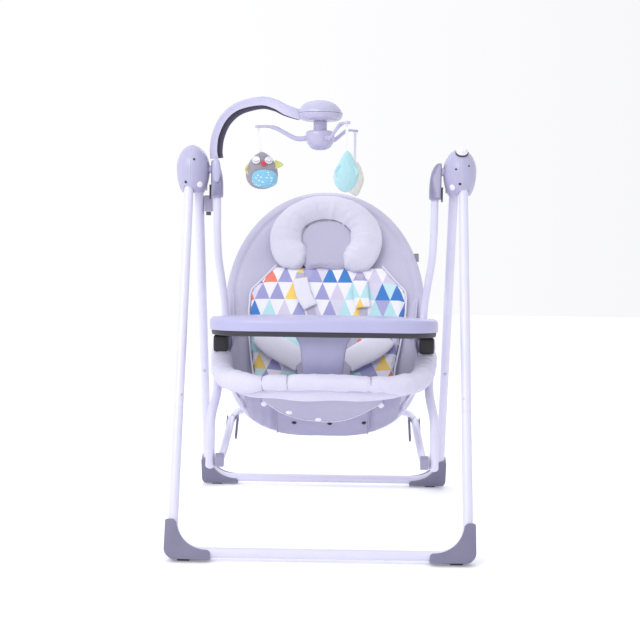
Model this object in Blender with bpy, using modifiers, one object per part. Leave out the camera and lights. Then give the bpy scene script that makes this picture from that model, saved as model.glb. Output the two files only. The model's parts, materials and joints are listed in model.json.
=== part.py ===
# Baby swing that also works as a bouncer: folding A-frame stand, powered swing arms,
# docked seat with tray and rocker base, and a toy mobile. Metres, +Z up, front towards -Y.
import math

import bmesh
import bpy
from mathutils import Matrix, Vector

GAP = 0.0003
SIDES = {"left": -1, "right": 1}

# Stand
LEG_RADIUS = 0.011
SEAT_LEG_RADIUS = 0.0105
BASE_Y = 0.36
BAR_Z = 0.018
FRONT_FOOT_X = 0.316
REAR_FOOT_X = 0.317
FRONT_TOP = (0.322, -0.032, 0.800)
FOLD_PIVOT = (0.306, 0.028, 0.800)
CORNER_RADIUS = 0.065
SEAM_Z = 0.308
FOOT_HALF = 0.0155
FOOT_REACH = 0.083
FLOOR_CUT_Z = 0.0032
PAD_X = 0.291
SNAP_Z = 0.334

# Hubs
HUB_X = 0.316
HUB_Z = 0.843
HUB_HALF_WIDTH = 0.039
HUB_HALF_DEPTH = 0.055
HUB_UP = 0.056
HUB_DOWN = 0.075
HUB_BOTTOM_Z = 0.7865
HUB_WALL = 0.003
PIN_RADIUS = 0.004
PIN_HEAD_RADIUS = 0.0072
DIAL_TILT = math.radians(40)

# Swing arms and docks
ARM_RADIUS = 0.009
ARM_X = 0.2585
AXLE_END_X = 0.335
DOCK_Y = -0.008
DOCK_Z = 0.42
DOCK_RADIUS = 0.0285
DOCK_INNER_X = 0.2225
DOCK_OUTER_X = 0.2425

# Seat frame: the ring lies in a reclined plane that starts at RING_TOP and runs down and forwards
RING_TOP = Vector((0, 0.28, 0.784))
RING_DOWN = Vector((0, -0.5514, -0.8342)).normalized()
RING_FRONT = Vector((0, -0.8342, 0.5514)).normalized()
RING_HALF_LENGTH = 0.331
RING_HALF_WIDTH = 0.236
RING_TOP_POWER = 2.1
RING_LOW_POWER = 3.2
RING_RADIUS = 0.010
RIM_RADIUS = 0.0095
RIM_COVER_RADIUS = 0.0165
SEAT_HUB_OUTER_X = 0.2645
PAD_THICKNESS = 0.018
INSERT_THICKNESS = 0.011
PAD_WIDTHS = [0.068, 0.168, 0.206, 0.209, 0.185, 0.160, 0.160, 0.160, 0.160, 0.165]
INSERT_WIDTHS = [0.138, 0.190, 0.190, 0.186, 0.178, 0.170, 0.165, 0.160, 0.158, 0.155, 0.150, 0.145,
                 0.135, 0.122, 0.110]
INSERT_START, INSERT_END = 0.166, 0.93
RUNNER_PIVOT = (0.2335, -0.17, 0.178)

# Tray
TRAY_TOP_Z = 0.511
TRAY_SKIRT_Z = 0.481
TRAY_UNDER_Z = 0.469

# Mobile
MOBILE_X = -0.015
MOBILE_Y = -0.05
MOBILE_REACH = 0.145
MOBILE_TIP_Z = 0.941
MOBILE_ARMS = {"owl": math.radians(175), "bird": math.radians(-65), "cloud": math.radians(55)}

TUBE_WHITE = (0.80, 0.79, 0.90)
HUB_GREY = (0.49, 0.48, 0.66)
KNEE_GREY = (0.27, 0.25, 0.38)
FOOT_GREY = (0.16, 0.15, 0.26)
DARK = (0.02, 0.02, 0.025)
FABRIC_GREY = (0.57, 0.56, 0.70)
FABRIC_PALE = (0.72, 0.71, 0.83)
WHITE = (0.85, 0.84, 0.90)


def clear_scene():
    for obj in list(bpy.data.objects):
        bpy.data.objects.remove(obj, do_unlink=True)


def collection(name, hidden=False):
    group = bpy.data.collections.new(name)
    bpy.context.scene.collection.children.link(group)
    group.hide_render = hidden
    return group


def finish_of(name, colour, roughness, metallic=0.0):
    material = bpy.data.materials.new(name)
    material.use_nodes = True
    shader = material.node_tree.nodes["Principled BSDF"]
    shader.inputs["Base Color"].default_value = (*colour, 1)
    shader.inputs["Roughness"].default_value = roughness
    shader.inputs["Metallic"].default_value = metallic
    return material


def keep(obj, colour, roughness=0.5, metallic=0.0):
    """Files the object with the parts and gives it its own material."""
    parts.objects.link(obj)
    obj.data.materials.clear()
    obj.data.materials.append(finish_of(obj.name, colour, roughness, metallic))
    return obj


def helper(obj):
    """Files the object with the cutters, out of the render."""
    cutters.objects.link(obj)
    obj.hide_render = True
    obj.display_type = "WIRE"
    return obj


def mesh_object(name, shape):
    bmesh.ops.recalc_face_normals(shape, faces=shape.faces)
    mesh = bpy.data.meshes.new(name)
    shape.to_mesh(mesh)
    shape.free()
    mesh.shade_smooth()
    mesh.set_sharp_from_angle(angle=math.radians(35))
    return bpy.data.objects.new(name, mesh)


def mirrored(points):
    """The points of a right-hand half and then those of its mirror image, from left to right."""
    left = [Vector((-p[0], p[1], p[2])) for p in points]
    right = [Vector(p) for p in reversed(points[:-1])]
    return left + right


def rounded_path(corners, radius, steps=6):
    """The corners joined by straight runs, each inner corner turned into an arc."""
    corners = [Vector(c) for c in corners]
    path = [corners[0]]
    for before, here, after in zip(corners, corners[1:], corners[2:]):
        back = (before - here).normalized()
        ahead = (after - here).normalized()
        half = back.angle(ahead) / 2
        cut_back = radius / math.tan(half)
        centre = here + (back + ahead).normalized() * (radius / math.sin(half))
        start = here + back * cut_back - centre
        turn = math.pi - 2 * half
        axis = start.cross(here + ahead * cut_back - centre).normalized()
        for step in range(steps + 1):
            path.append(centre + Matrix.Rotation(turn * step / steps, 3, axis) @ start)
    return path + [corners[-1]]


def smooth_path(points, steps=4):
    """A Catmull-Rom curve through the points."""
    points = [Vector(p) for p in points]
    ends = [2 * points[0] - points[1]] + points + [2 * points[-1] - points[-2]]
    path = []
    for a, b, c, d in zip(ends, ends[1:], ends[2:], ends[3:]):
        for step in range(steps):
            t = step / steps
            path.append(0.5 * (2 * b + (c - a) * t + (2 * a - 5 * b + 4 * c - d) * t ** 2
                               + (3 * b - a - 3 * c + d) * t ** 3))
    return path + [points[-1]]


def tube(name, path, radius, closed=False, capped=True, resolution=3):
    curve = bpy.data.curves.new(name, "CURVE")
    curve.dimensions = "3D"
    curve.bevel_depth = radius
    curve.bevel_resolution = resolution
    curve.use_fill_caps = capped
    spline = curve.splines.new("POLY")
    spline.points.add(len(path) - 1)
    for point, place in zip(spline.points, path):
        point.co = (*place, 1)
    spline.use_cyclic_u = closed
    return bpy.data.objects.new(name, curve)


def as_mesh(obj):
    """A curve object made into a closed mesh object of the same name."""
    name = obj.name
    bpy.context.scene.collection.objects.link(obj)
    graph = bpy.context.evaluated_depsgraph_get()
    mesh = bpy.data.meshes.new_from_object(obj.evaluated_get(graph))
    shape = bmesh.new()
    shape.from_mesh(mesh)
    bmesh.ops.remove_doubles(shape, verts=shape.verts, dist=0.00001)
    bmesh.ops.recalc_face_normals(shape, faces=shape.faces)
    shape.to_mesh(mesh)
    shape.free()
    made = bpy.data.objects.new(name + ".mesh", mesh)
    made.matrix_world = obj.matrix_world
    bpy.data.objects.remove(obj)
    made.name = name
    return made


def solid_tube(name, path, radius, closed=False, resolution=3):
    return as_mesh(tube(name, path, radius, closed, True, resolution))


def combine(obj, other, operation):
    helper(other)
    modifier = obj.modifiers.new(operation.lower() + "_" + other.name, "BOOLEAN")
    modifier.operation = operation
    modifier.object = other
    return obj


def cut(obj, *others):
    for other in others:
        combine(obj, other, "DIFFERENCE")
    return obj


def join(obj, *others):
    for other in others:
        combine(obj, other, "UNION")
    return obj


def block(name, low, high, rounding=0.0, segments=1):
    low, high = Vector(low), Vector(high)
    shape = bmesh.new()
    size = Matrix.Diagonal((*(high - low), 1))
    bmesh.ops.create_cube(shape, size=1, matrix=Matrix.Translation((low + high) / 2) @ size)
    if rounding:
        bmesh.ops.bevel(shape, geom=shape.edges[:], offset=rounding, segments=segments,
                        profile=0.5, affect="EDGES", clamp_overlap=True)
    return mesh_object(name, shape)


def disc(name, start, end, radius, sides=20, rounding=0.0):
    """A round bar from start to end."""
    start, end = Vector(start), Vector(end)
    along = end - start
    turn = Vector((0, 0, 1)).rotation_difference(along).to_matrix().to_4x4()
    shape = bmesh.new()
    bmesh.ops.create_cone(shape, cap_ends=True, segments=sides, radius1=radius, radius2=radius,
                          depth=along.length, matrix=Matrix.Translation((start + end) / 2) @ turn)
    if rounding:
        rims = [e for e in shape.edges
                if abs((e.verts[0].co - e.verts[1].co).dot(along)) < 1e-9]
        bmesh.ops.bevel(shape, geom=rims, offset=rounding, segments=1, profile=0.5,
                        affect="EDGES", clamp_overlap=True)
    return mesh_object(name, shape)


def ball(name, centre, half, turn=Matrix.Identity(3), power=1.0, sides=16, rings=10):
    """An ellipsoid, made boxier by a power under 1."""
    shape = bmesh.new()
    bmesh.ops.create_uvsphere(shape, u_segments=sides, v_segments=rings, radius=1)
    for vert in shape.verts:
        place = [math.copysign(abs(c) ** power, c) * h for c, h in zip(vert.co, half)]
        vert.co = Vector(centre) + turn @ Vector(place)
    return mesh_object(name, shape)


def turned(name, centre, profile, steps=20):
    """A profile of (radius, z) turned about the vertical line through centre."""
    mesh = bpy.data.meshes.new(name)
    shape = bmesh.new()
    verts = [shape.verts.new((r, 0, z)) for r, z in profile]
    for a, b in zip(verts, verts[1:]):
        shape.edges.new((a, b))
    if profile[0][0] > 0:
        shape.edges.new((verts[-1], verts[0]))
    shape.to_mesh(mesh)
    shape.free()
    obj = bpy.data.objects.new(name, mesh)
    obj.location = (centre[0], centre[1], 0)
    screw = obj.modifiers.new("turn", "SCREW")
    screw.axis = "Z"
    screw.steps = steps
    screw.render_steps = steps
    screw.use_merge_vertices = True
    screw.merge_threshold = 0.00001
    return obj


def sweep(name, path, section_at, side):
    """A closed solid whose outline, section_at(share) in (across, side), follows the path."""
    shape = bmesh.new()
    rings = []
    for index, place in enumerate(path):
        ahead = path[min(index + 1, len(path) - 1)] - path[max(index - 1, 0)]
        along = ahead.normalized()
        beside = (Vector(side) - along * along.dot(Vector(side))).normalized()
        across = along.cross(beside)
        share = index / (len(path) - 1)
        rings.append([shape.verts.new(place + across * a + beside * b)
                      for a, b in section_at(share)])
    for ring, following in zip(rings, rings[1:]):
        for i in range(len(ring)):
            j = (i + 1) % len(ring)
            shape.faces.new((ring[i], ring[j], following[j], following[i]))
    shape.faces.new(rings[0])
    shape.faces.new(rings[-1])
    bmesh.ops.triangulate(shape, faces=[f for f in shape.faces if len(f.verts) > 4])
    return mesh_object(name, shape)


def skin(name, place_at, across, along, thickness):
    """A panel of even thickness about the surface place_at(u, v), u from -1 to 1, v from 0 to 1."""
    shape = bmesh.new()
    grid = [[shape.verts.new(place_at(2 * i / across - 1, j / along)) for i in range(across + 1)]
            for j in range(along + 1)]
    for row, following in zip(grid, grid[1:]):
        for i in range(across):
            shape.faces.new((row[i], row[i + 1], following[i + 1], following[i]))
    obj = mesh_object(name, shape)
    solidify = obj.modifiers.new("thickness", "SOLIDIFY")
    solidify.thickness = thickness
    solidify.offset = 0
    return obj


def mix(values, share):
    """The value at a share of the way along evenly spaced values."""
    place = share * (len(values) - 1)
    low = min(int(place), len(values) - 2)
    return values[low] + (values[low + 1] - values[low]) * (place - low)


# Stand and rear frame

def leg_line(frame, side):
    """The foot and the top of a leg's centre line."""
    sign = SIDES[side]
    if frame == "front":
        return Vector((sign * FRONT_FOOT_X, -BASE_Y, BAR_Z)), Vector((sign * FRONT_TOP[0], *FRONT_TOP[1:]))
    return Vector((sign * REAR_FOOT_X, BASE_Y, BAR_Z)), Vector((sign * FOLD_PIVOT[0], *FOLD_PIVOT[1:]))


def leg_point(frame, side, height):
    foot, top = leg_line(frame, side)
    return foot.lerp(top, (height - BAR_Z) / (top.z - BAR_Z))


def base_path(frame):
    ends = [leg_point(frame, side, SEAM_Z) for side in SIDES]
    feet = [leg_line(frame, side)[0] for side in SIDES]
    return rounded_path([ends[0], feet[0], feet[1], ends[1]], CORNER_RADIUS, 6)


def make_base(frame):
    keep(tube(frame + "_base_tube", base_path(frame), LEG_RADIUS), TUBE_WHITE, 0.3)


def make_leg(frame, side):
    foot, top = leg_line(frame, side)
    up = (top - foot).normalized()
    start = leg_point(frame, side, SEAM_Z) + up * GAP
    end = top + up * (LEG_RADIUS if frame == "rear" else 0)
    leg = solid_tube(frame + "_leg_" + side, [start, end], LEG_RADIUS)
    if frame == "rear":
        sign = SIDES[side]
        reach = Vector((0.02, 0, 0))
        hole = disc("pin_hole_" + side, top - reach, top + reach, PIN_RADIUS + 0.0004, 16)
        front = Vector((0, -up.z, up.y))
        centre = leg_point(frame, side, SNAP_Z)
        pocket = disc("snap_hole_" + side, centre + front * 0.0015, centre + front * 0.02, 0.0042, 14)
        cut(leg, hole, pocket)
        button = disc("snap_button_" + side, centre + front * 0.0045, centre + front * 0.0128,
                      0.0038, 14, 0.0012)
        keep(button, DARK, 0.4)
        pin_start = Vector((sign * 0.284, top.y, top.z))
        shoulder = Vector((sign * 0.2943, top.y, top.z))
        pin = disc("pivot_pin_" + side, pin_start, shoulder, PIN_HEAD_RADIUS, 20, 0.0012)
        shank = disc("pin_shank_" + side, shoulder - Vector((sign * 0.002, 0, 0)),
                     Vector((sign * 0.3195, top.y, top.z)), PIN_RADIUS, 16)
        keep(join(pin, shank), (0.75, 0.75, 0.78), 0.25, 1.0)
    keep(leg, TUBE_WHITE, 0.3)


def foot_outline():
    """The boot's outline: (inwards along the bar, up along the leg), from its top outer corner."""
    low = -FOOT_HALF
    corner = 0.022
    outline = [(low, 0.066), (low + 0.004, 0.0685), (0.002, 0.0685), (0.0075, 0.064)]
    centre, radius = 0.0745, 0.0665
    for step in range(1, 7):
        angle = math.radians(180 + 90 * step / 7)
        outline.append((centre + radius * math.cos(angle), centre - 0.004 + radius * math.sin(angle)))
    outline += [(FOOT_REACH - 0.004, 0.0035), (FOOT_REACH, -0.003), (FOOT_REACH, low)]
    for step in range(5):
        angle = math.radians(270 - 90 * step / 4)
        outline.append((low + corner + corner * math.cos(angle), low + corner + corner * math.sin(angle)))
    return outline


def make_foot(frame, side):
    foot, top = leg_line(frame, side)
    up = (top - foot).normalized()
    inwards = Vector((-SIDES[side], 0, 0))
    through = up.cross(inwards).normalized()
    shape = bmesh.new()
    faces = []
    for depth in (-FOOT_HALF, FOOT_HALF):
        verts = [shape.verts.new(foot + inwards * a + up * b + through * depth)
                 for a, b in foot_outline()]
        faces.append(shape.faces.new(verts))
    count = len(foot_outline())
    shape.verts.ensure_lookup_table()
    for i in range(count):
        j = (i + 1) % count
        shape.faces.new((shape.verts[i], shape.verts[j], shape.verts[count + j], shape.verts[count + i]))
    rims = {e for face in faces for e in face.edges}
    bmesh.ops.bevel(shape, geom=list(rims), offset=0.004, segments=1, profile=0.5, affect="EDGES",
                    clamp_overlap=True)
    boot = mesh_object(frame + "_foot_" + side, shape)
    bore = solid_tube("foot_bore_" + frame + "_" + side, base_path(frame), LEG_RADIUS + GAP)
    ground = block("ground_" + frame + "_" + side, (foot.x - 0.2, foot.y - 0.1, -0.1),
                   (foot.x + 0.2, foot.y + 0.1, FLOOR_CUT_Z))
    keep(cut(boot, bore, ground), FOOT_GREY, 0.45)
    lean = -math.copysign(0.0028, foot.y)
    centre = Vector((SIDES[side] * PAD_X, foot.y + lean, 0))
    pad = block(frame + "_pad_" + side, centre - Vector((0.0135, 0.0062, 0)),
                centre + Vector((0.0135, 0.0062, FLOOR_CUT_Z - GAP)), 0.0009, 1)
    keep(pad, DARK, 0.8)


# Hubs

def hub_shell(name, side, outer):
    """Half of an egg-shaped hub, split on a plane across the axle and open at the bottom."""
    sign = SIDES[side]
    shape = bmesh.new()
    bmesh.ops.create_uvsphere(shape, u_segments=18, v_segments=12, radius=1)
    for vert in shape.verts:
        x, y, z = vert.co
        height = HUB_UP if z > 0 else HUB_DOWN
        vert.co = (sign * HUB_X + x * HUB_HALF_WIDTH, y * HUB_HALF_DEPTH, HUB_Z + z * height)
    away = sign if outer else -sign
    planes = [((sign * HUB_X - away * 0.002, 0, 0), (-away, 0, 0)),
              ((0, 0, HUB_BOTTOM_Z), (0, 0, -1))]
    for place, normal in planes:
        bmesh.ops.bisect_plane(shape, geom=shape.verts[:] + shape.edges[:] + shape.faces[:],
                               dist=1e-6, plane_co=place, plane_no=normal, clear_outer=True)
    bmesh.ops.recalc_face_normals(shape, faces=shape.faces)
    outwards = sum((f.normal.dot(f.calc_center_median() - Vector((sign * HUB_X, 0, HUB_Z)))
                    for f in shape.faces))
    if outwards < 0:
        bmesh.ops.reverse_faces(shape, faces=shape.faces)
    mesh = bpy.data.meshes.new(name)
    shape.to_mesh(mesh)
    shape.free()
    mesh.shade_smooth()
    shell = bpy.data.objects.new(name, mesh)
    solidify = shell.modifiers.new("wall", "SOLIDIFY")
    solidify.thickness = HUB_WALL
    solidify.offset = -1
    return shell


def make_hub(side):
    sign = SIDES[side]
    foot, top = leg_line("front", side)
    up = (top - foot).normalized()
    for outer in (False, True):
        name = "hub_" + side + ("_outer" if outer else "_inner")
        shell = hub_shell(name, side, outer)
        leg_hole = disc("leg_hole_" + name, top - up * 0.05, top + up * 0.001, LEG_RADIUS + 0.0008)
        slot_low = Vector((sign * (FOLD_PIVOT[0] + 0.0004) - 0.0125, 0.002, 0.77))
        slot = block("slot_" + name, slot_low, slot_low + Vector((0.025, 0.08, 0.0435)))
        away = sign if outer else -sign
        split = sign * HUB_X + away * GAP / 2
        near, far = sorted((split, split - away * 0.02))
        cut(shell, block("split_" + name, (near, -0.07, 0.77), (far, 0.07, 0.91)), leg_hole, slot)
        if not outer:
            axle = Vector((sign * 0.26, 0, HUB_Z))
            axle_hole = disc("axle_hole_" + name, axle, Vector((sign * 0.31, 0, HUB_Z)),
                             ARM_RADIUS + 0.0008)
            pin = Vector((sign * 0.26, FOLD_PIVOT[1], FOLD_PIVOT[2]))
            pin_hole = disc("head_hole_" + name, pin, pin + Vector((sign * 0.036, 0, 0)),
                            PIN_HEAD_RADIUS + 0.0004, 20)
            cut(shell, axle_hole, pin_hole)
        if side == "right":
            cut(shell, disc("dial_hole_" + name, dial_seat() - dial_axis() * 0.02,
                            dial_seat() + dial_axis() * 0.01, 0.0037, 14))
        keep(shell, HUB_GREY, 0.35)


def dial_axis():
    return Vector((0, -math.sin(DIAL_TILT), math.cos(DIAL_TILT)))


def dial_seat():
    share = math.atan2(HUB_HALF_DEPTH * math.sin(DIAL_TILT), HUB_UP * math.cos(DIAL_TILT))
    return Vector((HUB_X + 0.0005, -HUB_HALF_DEPTH * math.sin(share), HUB_Z + HUB_UP * math.cos(share)))


def make_dial():
    base = dial_seat() + dial_axis() * 0.0006
    knob = disc("speed_dial", base, base + dial_axis() * 0.0085, 0.0135, 20, 0.0015)
    shaft = disc("dial_shaft", base - dial_axis() * 0.011, base + dial_axis() * 0.002, 0.003, 12)
    grip = block("dial_grip", (-0.0015, -0.012, 0), (0.0015, 0.012, 0.012), 0.0006, 1)
    grip.matrix_world = (Matrix.Translation(base)
                         @ Vector((0, 0, 1)).rotation_difference(dial_axis()).to_matrix().to_4x4())
    keep(join(knob, shaft, grip), WHITE, 0.3)


def make_drive():
    lever = block("drive_magnet", (0.299, -0.011, HUB_Z + ARM_RADIUS + GAP), (0.313, 0.011, 0.8765),
                  0.001, 1)
    keep(lever, (0.3, 0.3, 0.33), 0.4, 1.0)
    coil = disc("drive_coil", (0.311, 0, 0.8795), (0.311, 0, 0.8860), 0.0095, 20)
    keep(coil, (0.65, 0.32, 0.12), 0.35, 1.0)
    board = block("control_board", (0.3385, -0.024, 0.836), (0.3401, 0.024, 0.868))
    keep(board, (0.05, 0.25, 0.1), 0.5)


def make_power_inlet():
    low = Vector((-0.2951, 0.034, 0.742))
    box = block("power_box", low, low + Vector((0.0206, 0.028, 0.039)), 0.0025)
    keep(box, (0.33, 0.32, 0.45), 0.4)
    top = Vector((-0.2845, 0.048, low.z - GAP))
    keep(disc("power_socket", top - Vector((0, 0, 0.0085)), top, 0.006, 16), DARK, 0.5)


# Swing arms, docks and mobile

def arm_path(side):
    sign = SIDES[side]
    axle = Vector((sign * AXLE_END_X, 0, HUB_Z))
    knee = Vector((sign * ARM_X, 0, HUB_Z))
    down = [(ARM_X, 0, 0.700), (0.2555, 0.003, 0.635), (0.2475, 0.007, 0.578), (0.2405, 0.008, 0.527),
            (0.2370, 0.000, 0.485), (0.2350, DOCK_Y, 0.465), (0.2345, DOCK_Y, DOCK_Z + DOCK_RADIUS + 2 * GAP)]
    lower = smooth_path([(sign * x, y, z) for x, y, z in down], 3)
    return rounded_path([axle, knee, lower[0]], 0.022, 5)[:-1] + lower


def make_arm(side):
    sign = SIDES[side]
    keep(tube("swing_arm_" + side, arm_path(side), ARM_RADIUS), TUBE_WHITE, 0.3)
    inner, outer = sorted((sign * 0.2455, sign * 0.2725))
    elbow = block("elbow_" + side, (inner, -0.017, 0.776), (outer, 0.017, 0.867), 0.009, 2)
    bore = solid_tube("elbow_bore_" + side, arm_path(side)[:12], ARM_RADIUS + GAP)
    keep(cut(elbow, bore), KNEE_GREY, 0.4)
    dock = disc("seat_dock_" + side, (sign * DOCK_INNER_X, DOCK_Y, DOCK_Z),
                (sign * DOCK_OUTER_X, DOCK_Y, DOCK_Z), DOCK_RADIUS, 20, 0.002)
    keep(dock, HUB_GREY, 0.4)


def channel_section(share):
    """A C channel open towards the inside of the bend, narrower at the far end."""
    size = mix([1.0, 1.0, 0.92, 0.8], share)
    half, deep, wall = 0.0145 * size, 0.0125 * size, 0.003
    chamfer = 0.004 * size
    outer = [(-half, -deep), (half - chamfer, -deep), (half, -deep + chamfer),
             (half, deep - chamfer), (half - chamfer, deep), (-half, deep)]
    inner = [(-half, deep - wall), (half - wall - 0.002, deep - wall), (half - wall, deep - wall - 0.002),
             (half - wall, wall + 0.002 - deep), (half - wall - 0.002, wall - deep), (-half, wall - deep)]
    return outer + inner


def make_mobile_arm():
    route = [(-0.2600, -0.004, 0.8676), (-0.2615, -0.005, 0.888), (-0.2560, -0.008, 0.922),
             (-0.2380, -0.014, 0.958), (-0.2050, -0.023, 0.984), (-0.1540, -0.036, 0.996),
             (-0.1200, -0.043, 0.990), (-0.0960, -0.047, 0.9785), (-0.0700, -0.050, 0.9700)]
    arch = sweep("mobile_arch", smooth_path(route, 3), channel_section, (0, 1, 0))
    keep(arch, HUB_GREY, 0.35)
    button = ball("mobile_button", (-0.2590, -0.0245, 0.842), (0.0085, 0.004, 0.022), sides=16, rings=10)
    keep(button, HUB_GREY, 0.35)
    centre = (MOBILE_X, MOBILE_Y)
    dome = [(0, 1.003), (0.018, 1.0017), (0.034, 0.9965), (0.045, 0.9875), (0.0505, 0.9775),
            (0.0515, 0.9718), (0.0485, 0.9718), (0.0475, 0.977), (0.0425, 0.985), (0.0325, 0.9935),
            (0.017, 0.9985), (0, 1.0)]
    keep(turned("mobile_dome", centre, dome), HUB_GREY, 0.35)
    base = [(0.0515, 0.9715), (0.0500, 0.9640), (0.0445, 0.9570), (0.0350, 0.9540), (0.0047, 0.9540),
            (0.0047, 0.9570), (0.0340, 0.9570), (0.0425, 0.9595), (0.0470, 0.9655), (0.0485, 0.9715)]
    keep(turned("mobile_dome_base", centre, base), HUB_GREY, 0.35)


def mobile_tip(angle):
    return Vector((MOBILE_X + MOBILE_REACH * math.cos(angle), MOBILE_Y + MOBILE_REACH * math.sin(angle),
                   MOBILE_TIP_Z))


def blade_section(share):
    height = mix([0.0060, 0.0055, 0.0045, 0.0032], share)
    return [(-height, -0.0022), (height, -0.0022), (height, 0.0022), (-height, 0.0022)]


def make_rotor():
    profile = [(0, 0.962), (0.004, 0.962), (0.004, 0.9534), (0.0155, 0.9534), (0.0155, 0.9325),
               (0.0290, 0.9315), (0.0330, 0.9250), (0.0335, 0.9080), (0.0300, 0.8960), (0.0190, 0.8890),
               (0, 0.8870)]
    hub = turned("mobile_rotor", (MOBILE_X, MOBILE_Y), profile)
    arms = []
    for name, angle in MOBILE_ARMS.items():
        out = Vector((math.cos(angle), math.sin(angle), 0))
        centre = Vector((MOBILE_X, MOBILE_Y, 0))
        route = [centre + out * r + Vector((0, 0, z))
                 for r, z in ((0.015, 0.918), (0.045, 0.913), (0.085, 0.924), (MOBILE_REACH, MOBILE_TIP_Z))]
        side = Vector((0, 0, 1)).cross(out)
        arms.append(sweep("rotor_arm_" + name, smooth_path(route, 3), blade_section, side))
    keep(join(hub, *arms), HUB_GREY, 0.35)


def make_toy(name, angle, half, drop, colour):
    """A stuffed toy and the ribbon that it hangs from."""
    tip = mobile_tip(angle)
    top = tip.z - 0.0052
    body = ball(name, (tip.x, tip.y, top - drop - half[2]), half, power=0.9, sides=14, rings=10)
    ribbon = block("ribbon_" + name, (tip.x - 0.003, tip.y - 0.0006, top - drop - 0.01),
                   (tip.x + 0.003, tip.y + 0.0006, top))
    keep(join(body, ribbon), colour, 0.9)


# Seat

def ring_point(turn):
    """The ring's centre line, turn from 0 at the top, through 0.25 at the right, to 1."""
    angle = 2 * math.pi * turn
    down, over = -math.cos(angle), math.sin(angle)
    power = RING_TOP_POWER if down < 0 else RING_LOW_POWER
    stretch = (abs(down) ** power + abs(over) ** power) ** (-1 / power)
    length = RING_HALF_LENGTH * (1 + down * stretch)
    return RING_TOP + RING_DOWN * length + Vector((RING_HALF_WIDTH * over * stretch, 0, 0))


def ring_at(x):
    """The height along the ring where it is x from the middle, on its lower half."""
    share = (1 - (abs(x) / RING_HALF_WIDTH) ** RING_LOW_POWER) ** (1 / RING_LOW_POWER)
    return RING_TOP + RING_DOWN * RING_HALF_LENGTH * (1 + share) + Vector((x, 0, 0))


def make_ring():
    steps = 36
    ring = solid_tube("seat_ring", [ring_point(i / steps) for i in range(steps)], RING_RADIUS, True, 2)
    for side, sign in SIDES.items():
        low = ring_at(0.186)
        start = Vector((sign * 0.186, low.y, low.z))
        end = Vector((sign * 0.203, -0.2035, 0.3478))
        join(ring, solid_tube("seat_stay_" + side, [start, end], 0.0035, resolution=2))
    keep(ring, TUBE_WHITE, 0.3)


def rim_path():
    half = [(0.2535, -0.0378, 0.4149), (0.2505, -0.0620, 0.4085), (0.2435, -0.1000, 0.3920),
            (0.2360, -0.1500, 0.3770), (0.2150, -0.2000, 0.3680), (0.1650, -0.2430, 0.3665),
            (0.0900, -0.2585, 0.3710), (0.0000, -0.2620, 0.3735)]
    return smooth_path(mirrored(half), 2)


def make_rim():
    keep(tube("rim_tube", rim_path(), RIM_RADIUS, resolution=3), TUBE_WHITE, 0.3)
    covered = [p for p in rim_path() if p.y < -0.09]
    sleeve = as_mesh(tube("rim_cover", covered, RIM_RADIUS + 2 * GAP, capped=False, resolution=3))
    solidify = sleeve.modifiers.new("padding", "SOLIDIFY")
    solidify.thickness = RIM_COVER_RADIUS - RIM_RADIUS - 2 * GAP
    solidify.offset = 1
    keep(sleeve, FABRIC_PALE, 0.9)


def seat_profile():
    """The middle of the seat pad seen from the side, from the top of the back to the front edge."""
    back = [RING_TOP + RING_DOWN * s + RING_FRONT * 0.006 for s in (0.024, 0.15, 0.30, 0.42)]
    pan = [Vector((0, y, z)) for y, z in ((-0.004, 0.354), (-0.045, 0.298), (-0.095, 0.276),
                                          (-0.150, 0.289), (-0.198, 0.322), (-0.230, 0.352))]
    return smooth_path(back + pan, 6)


def on_seat(x, share, lift):
    """A point on the seat at x, share of the way down the profile, lifted off its middle surface."""
    path = seat_profile()
    place = share * (len(path) - 1)
    low = min(int(place), len(path) - 2)
    point = path[low].lerp(path[low + 1], place - low)
    along = (path[min(low + 2, len(path) - 1)] - path[max(low - 1, 0)]).normalized()
    normal = along.cross(Vector((1, 0, 0)))
    depth = mix([0, 0, 0, 0.02, 0.07, 0.09, 0.06, 0.03], share)
    bowl = depth * (x / 0.2) ** 2
    slope = 2 * depth * x / 0.2 ** 2
    return point + normal * (lift * math.hypot(1, slope) + bowl) + Vector((x, 0, 0))


def make_seat_soft():
    pad = skin("seat_pad", lambda u, v: on_seat(u * mix(PAD_WIDTHS, v), v, 0), 8, 22, PAD_THICKNESS)
    keep(pad, FABRIC_GREY, 0.9)
    lift = PAD_THICKNESS / 2 + INSERT_THICKNESS / 2 + 0.0042
    shares = INSERT_END - INSERT_START
    insert = skin("insert_pad",
                  lambda u, v: on_seat(u * mix(INSERT_WIDTHS, v), INSERT_START + shares * v, lift),
                  6, 20, INSERT_THICKNESS)
    keep(insert, (0.8, 0.8, 0.9), 0.9)
    tilt = Matrix((Vector((1, 0, 0)), -RING_FRONT, -RING_DOWN)).transposed()
    centre = RING_TOP + RING_DOWN * 0.116 + RING_FRONT * 0.0352
    pillow = ball("head_pillow", centre, (0.145, 0.019, 0.108), tilt, 0.85)
    keep(pillow, FABRIC_PALE, 0.9)

    def apron_point(u, v):
        x = 0.165 * u
        low = ring_at(x) + Vector((0, -0.0135, -0.0055))
        high = Vector((x, -0.2495 + 1.1 * x * x, 0.3475 - 0.2 * x * x))
        sag = math.sin(math.pi * v) * 0.004
        return high.lerp(low, v) + Vector((0, -0.6, -0.8)) * sag

    keep(skin("apron", apron_point, 12, 6, 0.002), (0.33, 0.31, 0.45), 0.9)
    buckle_low = Vector((-0.025, -0.150, 0.3220))
    keep(block("buckle", buckle_low, buckle_low + Vector((0.05, 0.034, 0.013)), 0.003), DARK, 0.4)


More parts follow.
